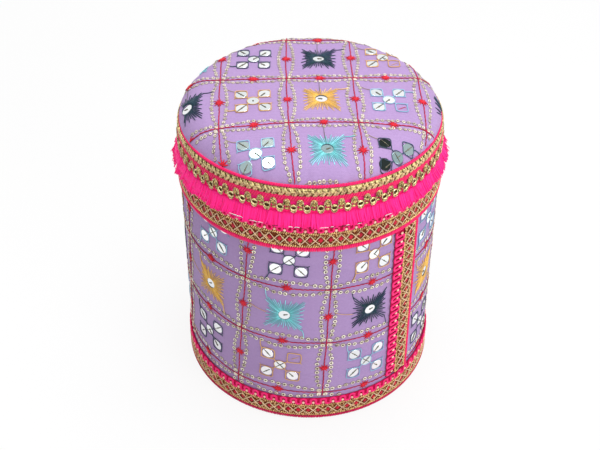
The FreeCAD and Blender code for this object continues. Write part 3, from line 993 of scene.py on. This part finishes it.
def sew_drum():
    """The drum's embroidery."""
    cloth = Cloth("drum", on_drum, drum_shows, chain_bow=(6.4, 7.4), sequin_pitch=7.0, sequin_radius=2.5,
                  sequin_hole=1.3)
    turns = [first_column - front_step * n for n in range(front_columns)]
    turns += [turns[-1] - back_step * (n + 1) for n in range(back_columns)]
    centres = np.array(turns) * drum_radius
    between = (centres[1:] + centres[:-1]) / 2
    ends = centres[0] + front_step * drum_radius / 2, centres[-1] - back_step * drum_radius / 2
    columns = np.concatenate(((ends[1],), between[::-1], (ends[0],)))
    rows = [middle_row + row_pitch * (n - 1.5) for n in range(-1, 4)]
    grid_lines(cloth, columns, rows)
    for column, along in enumerate(centres):
        top, burst, low = DRUM_CYCLE[column % 3]
        spots = [np.array((along, middle_row + row_pitch * (1 - row))) for row in range(3)]
        cross_motif(cloth, spots[0], top, spread=15.0, half=7.8)
        cross_motif(cloth, spots[2], low, spread=15.0, half=7.8, lost=DRUM_LOST.get((column, 2), ()))
        burst_motif(cloth, spots[1], burst, (22.5, 22.5))
        loose = ((top, 0, (-22, -16), (-26, -33), 0.1, 0.55, "threads"),
                 (low, 2, (-22, 20), (-25, 34), 0.1, 0.5, "threads"),
                 (burst, 1, (-21, 20), (-24, 34), 0.05, 0.4, "bursts"),
                 (burst, 1, (21, -20), (24, -33), 0.05, 0.4, "bursts"),
                 ("gold", 1, (-21, -1), (-43, 5), 0.04, 0.3, "threads"))
        for colour, row, start, end, sag, half_width, kind in loose:
            jump_thread(cloth, colour, spots[row] + start, spots[row] + end, sag, half_width, kind)
    return cloth


def sew_lid():
    """The lid's embroidery."""
    cloth = Cloth("lid", on_lid, lid_shows, chain_bow=(6.8, 4.6), sequin_pitch=5.3, sequin_radius=2.0,
                  sequin_hole=0.9)
    columns = [lid_column_pitch * (n - 0.5) for n in range(-2, 4)]
    rows = [lid_row_pitch * (n - 0.5) for n in range(-1, 4)]
    grid_lines(cloth, columns, rows)
    for (column, row), colour in LID_MOTIFS.items():
        centre = np.array((lid_column_pitch * column, lid_row_pitch * row))
        shades = LID_SHADES.get((column, row), (BRIGHT,) * 5)
        if column % 2 == 0:
            burst_motif(cloth, centre, colour, (20.2, 21.5), shades[4])
            jump_thread(cloth, "grey", centre + (0, 7), centre + (-1, 34), 0.02, 0.3)
            jump_thread(cloth, colour, centre + (19, 19), centre + (31, 21), -0.08, 0.42, "bursts")
        else:
            cross_motif(cloth, centre, colour, spread=12.9, half=6.7, lost=LID_LOST.get((column, row), ()),
                        shades=shades)
            side = -1 if column < 0 else 1
            jump_thread(cloth, colour, centre + (19.5 * side, 15 * side), centre + (30 * side, 15 * side), 0.08, 0.45)
            jump_thread(cloth, "chain", centre + (-19.5, 18), centre + (-30, 24), 0.08, 0.3)
    return cloth


def set_flat(place, centres, shape):
    """Stiff copies of a shape on a curved cloth, each flat on the cloth at its middle, with a slight tilt."""
    points, lay, quads, triangles = shape
    size = len(points)
    centres = raised(centres, 0.0)
    origin = place(centres)
    along = place(centres + (0.5, 0, 0)) - origin
    out = place(centres + (0, 0, 1.0)) - origin
    out += rng.normal(0, 0.03 * MM, out.shape)
    out /= np.linalg.norm(out, axis=1, keepdims=True)
    along -= out * (along * out).sum(1, keepdims=True)
    along /= np.linalg.norm(along, axis=1, keepdims=True)
    up = np.cross(out, along)
    axes = np.stack((along, up, out), axis=1)
    placed = origin[:, None] / MM + np.einsum("pk,ckx->cpx", points, axes)
    lays = np.repeat(lay[None], len(centres), axis=0)
    lays[..., 2] = rng.random((len(centres), 1))
    count = len(centres)
    return placed.reshape(-1, 3), lays.reshape(-1, 3), numbered(quads, count, size), numbered(triangles, count, size)


def settled(cloth, spots):
    """Where mirrors are sewn: on the lid those that would lie under the edge cord are moved above it."""
    if cloth.body == "drum":
        return spots, on_drum
    spots = np.column_stack(lid_place(spots[:, 0], spots[:, 1]))
    length = np.hypot(spots[:, 0], spots[:, 1])
    spots = spots * np.minimum(1.0, mirror_reach / length)[:, None]
    return spots[length < mirror_reach + lid_slip], on_crown


def finish_sewing(cloth, replaced_mirrors):
    """Makes the pieces of one embroidered cloth."""
    for kind, finishes in (("threads", threads), ("bursts", bursts)):
        for colour, heap in getattr(cloth, kind).items():
            make_piece(f"{cloth.body}_{colour}_{kind}", heap, cloth.place, [finishes[colour]], cloth.body)
    spots = np.array(cloth.sequins)
    heap = Heap()
    rim, hole = cloth.sequin_radius, cloth.sequin_hole
    ring = [(hole, 0.0), (rim, 0.05), (rim, 0.25), ((rim + hole) / 2, 0.6), (hole, 0.4)]
    tilt = rng.normal(0, 0.09, (len(spots), 2))
    heap.add(turned(raised(spots, 0.25), ring, 12, loop=True, tilt=tilt))
    # A dark disc under each sequin: painted shadow round its rim and in its hole, standing also for the thread that
    # holds it
    stitch_and_shadow_disc = [(0, 0.05), (rim + 0.3, 0.05), (rim + 0.3, 0.15), (0, 0.25)]
    heap.add(turned(raised(spots, 0.1), stitch_and_shadow_disc, 10), 1)
    make_piece(f"{cloth.body}_sequins", heap, cloth.place, [sequins[cloth.body], sequin_stitch_and_shadow[cloth.body]],
               cloth.body)
    disc_profile = [(0, 0.05), (mirror_radius - 0.15, 0.05), (mirror_radius, 0.2), (mirror_radius, 0.45),
                    (mirror_radius - 0.15, mirror_thickness), (mirror_radius - 0.5, mirror_thickness),
                    (0, mirror_thickness)]
    shape = turned((0, 0, 0), disc_profile, 32)
    mirrors = np.array(cloth.mirrors)
    heap = Heap()
    for shade in (BRIGHT, DULL, DARK):
        chosen = mirrors[mirrors[:, 2] == shade, :2]
        if len(chosen):
            places, surface = settled(cloth, chosen)
            heap.add(set_flat(surface, places, shape), shade)
    make_piece(f"{cloth.body}_mirror_discs", heap, as_drawn, [mirror_bright, mirror_painted_dull, mirror_painted_dark], cloth.body,
               [replaced_mirrors])


# Trims

def wave(length, cycles, steps_per_cycle, middle, swing, phase=0.0, lift=1.0, lift_swing=0.0):
    """One line that swings up and down round a strip, as a closed path."""
    steps = cycles * steps_per_cycle
    along = np.arange(steps) * length / steps
    turn = along / length * cycles * TURN + phase
    height = lift + lift_swing * np.cos(turn)
    return np.column_stack((along, middle + swing * np.sin(turn), height))[None]


def row_of(pitch, count, start, end, share, lift, phase=0.0):
    """Slanted stitches in a row: paths from start to end, repeated along a strip."""
    share = np.asarray(share, float)
    base = np.array(start) + (np.array(end) - np.array(start)) * share[:, None]
    paths = np.repeat(np.column_stack((base, np.broadcast_to(lift, len(share))))[None], count, axis=0)
    paths[..., 0] += ((np.arange(count) + phase) * pitch)[:, None]
    paths[..., :2] += rng.normal(0, 0.08, (count, 1, 2))
    return paths


LEAF = np.array((0.0, 0.2, 0.5, 0.8, 1.0))
LEAF_WIDTH = np.array((0.35, 0.85, 1.0, 0.85, 0.35))
FLAT_SECTION = ((1, -1), (1, 0.6), (0.94, 1), (-0.94, 1), (-1, 0.6), (-1, -1))


def backing(heap, length, low, high, thickness, slot, closed):
    """The woven strip that carries a trim."""
    steps = max(8, round(length / 4))
    along = np.arange(steps) * length / steps if closed else np.linspace(0, length, steps)
    path = level_spots(along, (low + high) / 2, thickness / 2)[None]
    heap.add(strands(path, (high - low) / 2, thickness / 2, closed=closed, period=length, section=FLAT_SECTION), slot)


def meander(repeats, pitch, low, high, half, lift):
    """A cord that runs up, over, down and under again in even loops."""
    leg, rise = 0.25, 2.3
    bend = np.radians((150, 120, 90, 60, 30))
    aside, above = leg * np.cos(bend) / math.cos(math.pi / 6), rise * np.sin(bend)
    top, bottom = high - half - rise, low + half + rise
    over, under = np.column_stack((aside, top + above)), np.column_stack((0.5 + aside, bottom - above))
    middle = (top + bottom) / 2
    one = np.concatenate((((-leg, middle),), over, ((leg, middle),), under))
    path = np.concatenate([one + (n + 0.5, 0) for n in range(repeats)])
    path[:, 0] *= pitch
    return raised(path, lift)[None]


def tape(length, width, pitch, scale, closed, cord_low, gimp_high, gimp_half, bead_rise):
    """The trim tape: a ribbed pink cord, gold lattice over red diamonds, and a looped gimp with gold beads."""
    pink, gold, pale, red, ground, fill, dark, cord = range(8)
    cord_top, field_low, middle, field_high, gimp_low = (v * scale for v in (4.6, 6.6, 13.8, 21.0, 22.8))
    heap = Heap()
    repeats = round(length / pitch)
    pitch = length / repeats
    backing(heap, length, low=0.6, high=min(width, gimp_high) - 1.2, thickness=0.9, slot=ground, closed=closed)
    backing(heap, length, low=cord_top, high=gimp_low, thickness=1.1, slot=dark, closed=closed)
    ribs = round(length / 1.95)
    rib_lift = 0.9 + 1.2 * np.sin(math.pi * LEAF)
    paths = row_of(length / ribs, ribs, (0, cord_low), (0.6, cord_top + 0.3), LEAF, rib_lift)
    heap.add(strands(paths, 1.08 * LEAF_WIDTH, 0.9 * LEAF_WIDTH, 5), cord)
    twists = round(length / 2.4)
    for low in (cord_top - 0.1, field_high - 0.5):
        paths = row_of(length / twists, twists, (0, low), (1.9, low + 3.0), LEAF, 1.1 + 0.8 * np.sin(math.pi * LEAF))
        heap.add(strands(paths, 0.95 * LEAF_WIDTH, 0.85 * LEAF_WIDTH, 5), fill)
    for size in (0.6, 0.85, 1.05):
        count = repeats * 12
        spread = np.column_stack((rng.uniform(0, length, count), rng.uniform(field_low, field_high, count)))
        spots = raised(spread, 1.2)
        aside = np.abs(np.mod(spots[:, 0] / pitch + 0.5, 1) - 0.5) * pitch
        spots = spots[aside / 3.4 + np.abs(spots[:, 1] - middle) / 4.2 > 1]
        grain = ((0, -0.2), (size, 0.1), (size * 0.8, 0.6), (0, 0.9))
        heap.add(turned(spots, grain, 5, tilt=rng.normal(0, 0.5, (len(spots), 2))), fill)
    spots = level_spots(np.arange(repeats) * pitch, middle, 1.0)
    spots = spots if closed else spots[1:]
    heap.add(turned(spots, ((0, 0), (3.3, 0.0), (3.0, 0.8), (1.5, 1.3), (0, 1.4)), 4, stretch=1.1 * scale), red)
    slant = np.linspace(0, 1, 7)
    apex = 6.2 * scale
    for way, lift in ((1, 2.3), (-1, 2.6)):
        start = (0, middle - apex) if way > 0 else (pitch, middle - apex)
        end = (way * pitch + start[0], middle + apex)
        paths = row_of(pitch, repeats, start, end, slant, lift - 0.6 * np.abs(2 * slant - 1) ** 2)
        heap.add(strands(paths, 0.5, 0.45, 5), pale)
    loops = meander(repeats, pitch, gimp_low, gimp_high, gimp_half, lift=1.6)
    heap.add(strands(loops if closed else loops[:, :-6], gimp_half, 1.05, 7, closed, length), pink)
    bead = ((0, -0.6), (1.3, -0.4), (1.8, 0.3), (1.5, 1.2), (0.8, 1.5), (0, 1.6))
    spots = level_spots((np.arange(repeats) + 0.5) * pitch, gimp_low + bead_rise, 1.2)
    heap.add(turned(spots, bead, 9, stretch=1.1), gold)
    return heap


def drum_tapes():
    """The same tape under the lid, round the foot and up the seam."""
    finishes = [pink_gimp, bead_gold, lattice_thread, red_pad, magenta, bronze, bronze_ground]
    round_length = TURN * tape_back
    width = head("top_trim") - foot("top_trim")
    made = tape(round_length, width, pitch=10.9, scale=1.07, closed=True, cord_low=-1.5, gimp_high=width + 0.4,
                gimp_half=1.35, bead_rise=2.8)
    place = band(tape_back, foot("top_trim"))
    make_piece("top_tape", made, place, [*finishes, pink_cord], "drum", ["top_trim"])
    width = head("base_trim") - foot("base_trim")
    made = tape(round_length, width, pitch=11.85, scale=1.0, closed=True, cord_low=-0.3, gimp_high=width - 1.6,
                gimp_half=1.6, bead_rise=4.0)
    place = band(tape_back, foot("base_trim"))
    # The foot's cord takes the darker copy: painted shade.
    make_piece("foot_tape", made, place, [*finishes, foot_cord_painted_shade], "drum", ["base_trim"])
    low, high = foot("seam_trim"), head("seam_trim")
    made = tape(high - low, seam_tape_width, pitch=11.85, scale=1.0, closed=False, cord_low=0.3,
                gimp_high=seam_tape_width + 0.2, gimp_half=1.65, bead_rise=5.4)
    place = upright(tape_back, seam_angle, seam_tape_width, low)
    make_piece("seam_tape", made, place, [*finishes, pink_cord], "drum", ["seam_trim"])


def hang(name, heap, radius, low, finishes, node):
    """Makes one of the trims round the lid, which sink at the back and left."""
    make_piece(name, heap, band(radius, low, True), finishes, "lid", [node])


def edge_piping():
    """A two-ply pink cord in the crease round the pad, sinking into it towards the back."""
    radius = reach("lid_edge_cord") - edge_cord_radius
    level = foot("lid_edge_cord") + edge_cord_radius
    length = TURN * radius
    heap = Heap()
    for phase in (0.0, math.pi):
        path = wave(length, cycles=160, steps_per_cycle=8, middle=0.0, swing=0.85, phase=phase, lift=0.0,
                    lift_swing=0.85)
        turn = np.abs(np.mod(path[0, :, 0] / radius + math.pi, TURN) - math.pi)
        share = 1 - 0.75 * np.clip((turn - 0.8) / 0.9, 0, 1)
        path[..., 1] = path[..., 1] * share - edge_cord_radius * (1 - share)
        path[..., 2] *= share
        heap.add(strands(path, share, share, 8, True, length))
    hang("lid_edge_piping", heap, radius, level, [pink_cord], "lid_edge_cord")


def herringbone():
    """Gold braid: two rows of plied leaves that slant into each other."""
    radius, low = trim_back, foot("lid_gold_braid")
    length, width = TURN * radius, head("lid_gold_braid") - foot("lid_gold_braid")
    heap = Heap()
    backing(heap, length, low=0.5, high=width - 0.5, thickness=0.6, slot=2, closed=True)
    count = round(length / 7.1)
    lift = 0.8 + 1.0 * np.sin(math.pi * LEAF)
    middle = width / 2
    rows = (0, (0, width + 0.5), (3.2, middle - 1.8), 0.0), (1, (4.2, middle + 1.8), (0.6, -0.9), 0.4)
    for slot, start, end, phase in rows:
        paths = row_of(length / count, count, start, end, LEAF, lift, phase)
        for shift in (-1.8, -0.6, 0.6, 1.8):
            heap.add(strands(paths + (shift, 0, 0.3 - 0.1 * abs(shift)), 0.85 * LEAF_WIDTH, 0.8 * LEAF_WIDTH, 6), slot)
    hang("lid_herringbone", heap, radius, low, [gold_braid, tan_braid, gold_rope], "lid_gold_braid")


def gimp_loops():
    """Plaited pink gimp between the gold braids, its lower edge behind the scroll, on a dark backing that is painted
    shade in the gaps between the plaits.
    """
    radius, low = trim_back, foot("lid_gimp")
    length, width = TURN * radius, head("lid_gimp") - foot("lid_gimp")
    heap = Heap()
    backing(heap, length, low=0.1, high=width + 0.5, thickness=0.6, slot=1, closed=True)
    cycles = round(length / 8.9)
    for phase in even_turns(3):
        path = wave(length, cycles, steps_per_cycle=12, middle=width / 2 - 0.4, swing=2.7, phase=phase, lift=1.3,
                    lift_swing=0.7)
        heap.add(strands(path, 1.4, 0.9, 7, True, length), 0)
    hang("lid_gimp_loops", heap, radius, low, [red_gimp, gimp_shade_backing], "lid_gimp")


def scroll_braid():
    """Gold scroll: a cord in round lobes, rosettes in the upper ones, slit rings in the lower ones, gold between."""
    rope, foil, pale, shade = range(4)
    radius, low = reach("lid_fringe_header") + 0.05, foot("lid_scroll_braid")
    length = TURN * radius
    cycles = round(length / 14.2)
    pitch = length / cycles
    middle, swing, bulge = 9.2, 7.7, 0.5
    heap = Heap()
    turn = np.arange(cycles * 24) * TURN / 24
    # The pale cord runs between two darker rope strands, which give it dark edges as painted shade
    for shift, half, lift, slot in ((0.0, 0.58, 2.5, pale), (-0.9, 0.5, 1.9, rope), (0.9, 0.5, 1.9, rope)):
        along = (turn - bulge * np.sin(2 * turn)) * pitch / TURN
        path = np.column_stack((along, middle + shift + swing * np.sin(turn), np.full(len(turn), lift)))[None]
        heap.add(strands(path, half, half, 6, True, length), slot)
    order = np.arange(cycles)

    def each(share, level, lift):
        return level_spots((order + share) * pitch, level, lift)

    ring = ((2.4, 0.4), (4.1, 0.0), (4.3, 0.8), (3.6, 1.7), (3.0, 1.7), (2.4, 1.1))
    heap.add(turned(each(0.75, middle - 2.4, 0.6), ring, 16, loop=True, tilt=(0.0, -0.1), stretch=0.92), foil)
    heap.add(turned(each(0.75, middle - 2.4, 0.5), ((0, 0), (2.4, 0), (2.4, 0.5), (0, 0.7)), 12, stretch=1.05), rope)
    slits = each(0.75, middle - 2.6, 0.8)
    for first, open_share in ((0, 0.6), (1, 0.3), (2, 0.45)):
        slit = ((0, 0.2), (2.3, 0.2), (2.3, 1.0), (0, 1.2))
        heap.add(turned(slits[first::3], slit, 12, stretch=open_share), shade)
    heap.add(turned(each(0.25, middle + 2.6, 0.4), ((0, 0), (3.6, 0), (3.3, 0.8), (0, 1.4)), 14, stretch=1.15), rope)
    heap.add(turned(each(0.25, middle - 4.6, 0.3), ((0, 0), (3.0, 0), (2.8, 0.7), (0, 1.0)), 10, stretch=0.6), rope)
    centres = each(0.25, middle + 2.6, 0.0)[:, :2]
    for n in range(8):
        out = np.array((math.cos(n * math.pi / 4 + 0.3), 1.15 * math.sin(n * math.pi / 4 + 0.3)))
        swirl = np.array((-out[1], out[0]))
        share = np.array((0.0, 0.35, 0.7, 1.0))
        flat = centres[:, None] + (out * (0.4 + 3.2 * share)[:, None] + swirl * (1.4 * share**2)[:, None])
        lift = np.broadcast_to((1.7, 2.1, 1.9, 1.1), flat.shape[:2])
        wide, high = np.array((0.4, 0.7, 0.8, 0.4)), np.array((0.4, 0.65, 0.65, 0.4))
        heap.add(strands(np.dstack((flat, lift)), wide, high), rope)
    finishes = [gold_rope, gold_foil, pale_gold, slit_shade]
    hang("lid_scroll", heap, radius, low, finishes, "lid_scroll_braid")


def fringe_heading():
    """The woven band that the fringe hangs from."""
    radius, low, high = trim_back, foot("lid_fringe_header"), head("lid_fringe_header")
    length = TURN * radius
    heap = Heap()
    backing(heap, length, low=0.0, high=high - low, thickness=0.4, slot=0, closed=True)
    count = round(length / 1.3)
    share = np.array((0.0, 0.5, 1.0))
    paths = row_of(length / count, count, (0, 0.2), (0, high - low - 0.2), share, (0.55, 0.6, 0.55))
    heap.add(strands(paths, 0.75, 0.35, sides=5), 0)
    hang("lid_fringe_heading", heap, radius, low, [pink_fringe], "lid_fringe_header")


def fringe_threads():
    """Cut fringe in tufts that flare over the joint, longer to the sides and back; its loose white threads, and dark
    threads that paint shadow under its edge, are in front only.
    """
    radius = reach("lid_fringe_header") + 0.3
    top, low = head("lid_fringe"), foot("lid_fringe")
    drop = top - low + 0.8
    flare = 8.2
    length = TURN * radius
    per_row, rows = 1150, 3
    share = np.linspace(0, 1, 6)
    heap = Heap()
    skirt = [(radius + 0.1 + (flare - 2.2) * s**1.25, top - (drop - 2.0) * s) for s in share]
    outer = [(r + 0.5, z) for r, z in skirt]
    points, lay, quads, triangles = turned((0, 0, 0), skirt[::-1] + outer, 256, loop=True)
    turn = np.arctan2(points[:, 0], -points[:, 1])
    flat = np.column_stack((turn * radius, points[:, 2] - low, np.hypot(points[:, 0], points[:, 1]) - radius))
    heap.add((flat, lay, quads[:, ::-1], triangles), 0)
    tuft_counts = np.array((23, 47, 61, 90))
    tuft_phases = rng.uniform(0, TURN, 4)
    tuft_leans = np.array((1.2, 0.7, 0.6, 0.4))
    for row in range(rows):
        along = np.sort(rng.uniform(0, length, per_row))
        tufts = np.sin(np.multiply.outer(tuft_counts, along / radius) + tuft_phases[:, None])
        lean = (tufts * tuft_leans[:, None]).sum(0)
        away = np.minimum(1.2 * np.sin(along / radius / 2) ** 2, 1)
        ragged = rng.normal(0, 1, (2, per_row)) * (0.5 + 2.4 * away)
        left = np.maximum(-np.sin(along / radius), 0) ** 2
        long = drop * (1.0 + 0.2 * away + 0.3 * left + 0.05 * tufts[0] + 0.04 * tufts[2] + 0.03 * ragged[0])
        out = flare * (0.92 + 0.06 * tufts[1] + 0.08 * tufts[0] + 0.05 * ragged[1]) * (0.8 + 0.1 * row)
        aside = lean + rng.normal(0, 0.5, per_row)
        paths = np.empty((per_row, len(share), 3))
        paths[..., 0] = along[:, None] + aside[:, None] * share**1.4
        paths[..., 1] = top - low - long[:, None] * share
        paths[..., 2] = 0.5 + 0.4 * row + out[:, None] * share**1.25
        width = np.array((0.9, 1.25, 1.35, 1.3, 1.05, 0.5))
        heap.add(strands(paths, width, 0.35, sides=4), 0)
    # White threads, and dark threads just under the edge that are painted shadow
    for slot, count, level, reach_out in ((1, 16, 0.1, 0.9), (2, 26, -0.8, 0.3)):
        along = rng.uniform(-0.65, 0.65, (count, 1)) * radius
        along = along + rng.uniform(1.6, 4.2, (count, 1)) * np.linspace(-1, 1, 7)
        up = level + rng.uniform(-0.5, 0.9, (count, 1)) + 0.4 * np.cos(np.linspace(-2, 2, 7))
        out = np.full((count, 7), flare + reach_out) + rng.uniform(-0.8, 0.3, (count, 1))
        heap.add(strands(np.dstack((along, up, out)), 0.3, 0.3, sides=5), slot)
    hang("lid_fringe_threads", heap, radius, low, [pink_fringe, white_thread, slit_shade], "lid_fringe")


# Scene

def posed(side, top, back, place):
    """The matrix of something that looks against its back axis."""
    axes = np.eye(4)
    axes[:3, 0], axes[:3, 1], axes[:3, 2], axes[:3, 3] = side, top, back, place
    return Matrix(axes.tolist())


def set_camera():
    """The photograph's viewpoint: above the front, with a long lens."""
    focal_pixels, image_width = 1164.8, 600
    eye_side, eye_back, eye_up = -11.0, -1101.0, 1082.0
    tilt, roll = math.radians(39.35), math.radians(0.29)
    forward = np.array((0, math.cos(tilt), -math.sin(tilt)))
    right = np.array((1.0, 0, 0))
    top = np.cross(right, forward)
    right, top = right * math.cos(roll) + top * math.sin(roll), top * math.cos(roll) - right * math.sin(roll)
    lens = bpy.data.cameras.new("camera")
    lens.sensor_width = 36.0
    lens.lens = focal_pixels / image_width * lens.sensor_width
    lens.clip_end = 50
    camera = bpy.data.objects.new("camera", lens)
    camera.matrix_world = posed(right, top, -forward, np.array((eye_side, eye_back, eye_up)) * MM)
    bpy.context.scene.collection.objects.link(camera)
    bpy.context.scene.camera = camera


def add_lamp(name, place, aim, size, power):
    """A soft square lamp that faces a point."""
    light = bpy.data.lights.new(name, "AREA")
    light.size = size
    light.energy = power
    lamp = bpy.data.objects.new(name, light)
    bpy.context.scene.collection.objects.link(lamp)
    back = np.array(place, float) - np.array(aim, float)
    back /= np.linalg.norm(back)
    side = np.cross(UP, back)
    side /= np.linalg.norm(side)
    lamp.matrix_world = posed(side, np.cross(back, side), back, place)


def set_studio():
    """White floor and surroundings, a large lamp overhead and a weaker one from the right."""
    sky_light, sky_shown = 0.51, 1.0     # strength for the light it gives, and as the camera and mirrors see it
    floor_grey, floor_shown = 0.82, 0.86     # its own grey, and how far the camera sees it as white instead
    half = 6.0     # half the floor's side
    scene = bpy.context.scene
    scene.view_settings.view_transform = "Standard"
    scene.world = bpy.data.worlds.new("studio")
    sky = Nodes(scene.world)
    rays = sky.node("LightPath").outputs
    seen = sky.maths("MAXIMUM", rays["Is Camera Ray"], rays["Is Glossy Ray"])
    strength = sky.node("MapRange", Value=seen, To_Min=sky_light, To_Max=sky_shown).outputs[0]
    background = sky.tree.nodes["Background"]
    sky.feed(background.inputs["Strength"], strength)
    background.inputs["Color"].default_value = (1, 1, 1, 1)
    floor_mesh = bpy.data.meshes.new("floor")
    floor_mesh.from_pydata([(-half, -half, 0), (half, -half, 0), (half, half, 0), (-half, half, 0)], [], [(0, 1, 2, 3)])
    floor = bpy.data.objects.new("floor", floor_mesh)
    scene.collection.objects.link(floor)
    paper = Finish("white_paper", Base_Color=(floor_grey, floor_grey, floor_grey, 1), Roughness=0.9)
    share = paper.maths("MULTIPLY", paper.node("LightPath").outputs["Is Camera Ray"], floor_shown)
    mix = paper.node("MixShader")
    for socket, value in zip(mix.inputs, (share, paper.shader.outputs[0], paper.node("Emission").outputs[0])):
        paper.feed(socket, value)
    paper.feed(paper.tree.nodes["Material Output"].inputs[0], mix.outputs[0])
    floor_mesh.materials.append(paper.material)
    add_lamp("overhead", place=(0.2, 0.1, 2.2), aim=(0, 0, 0.3), size=1.8, power=41)
    add_lamp("right_front", place=(1.5, -1.6, 1.0), aim=(0, 0, 0.2), size=1.2, power=21)


def dress_boards():
    """Finishes for the boards and fasteners that keep their CAD shape."""
    finishes = {board: ("drum_shell", "base_board", "neck_ring", "lid_hoop", "lid_board"),
                steel: ("base_nails", "bottom_staples", "lid_nails")}
    for finish, nodes in finishes.items():
        for node in nodes:
            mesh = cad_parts[node].data
            mesh.materials.clear()
            mesh.materials.append(finish)


drum_cloth()
lid_pad()
lid_cloth()
neck_cloth()
sleeve("wall_lining_cloth", "wall_lining", lining_thickness, lining, "drum")
sleeve("lid_wall_lining_cloth", "lid_wall_lining", lining_thickness, lining, "lid")
disc("floor_lining_cloth", "floor_lining", lining, "drum")
disc("lid_lining_cloth", "lid_lining", lining, "lid")
disc("underside_cloth", "bottom_cloth", underside, "drum")
finish_sewing(sew_drum(), "body_mirrors")
finish_sewing(sew_lid(), "lid_mirrors")
drum_tapes()
edge_piping()
herringbone()
gimp_loops()
scroll_braid()
fringe_heading()
fringe_threads()
dress_boards()
set_camera()
set_studio()
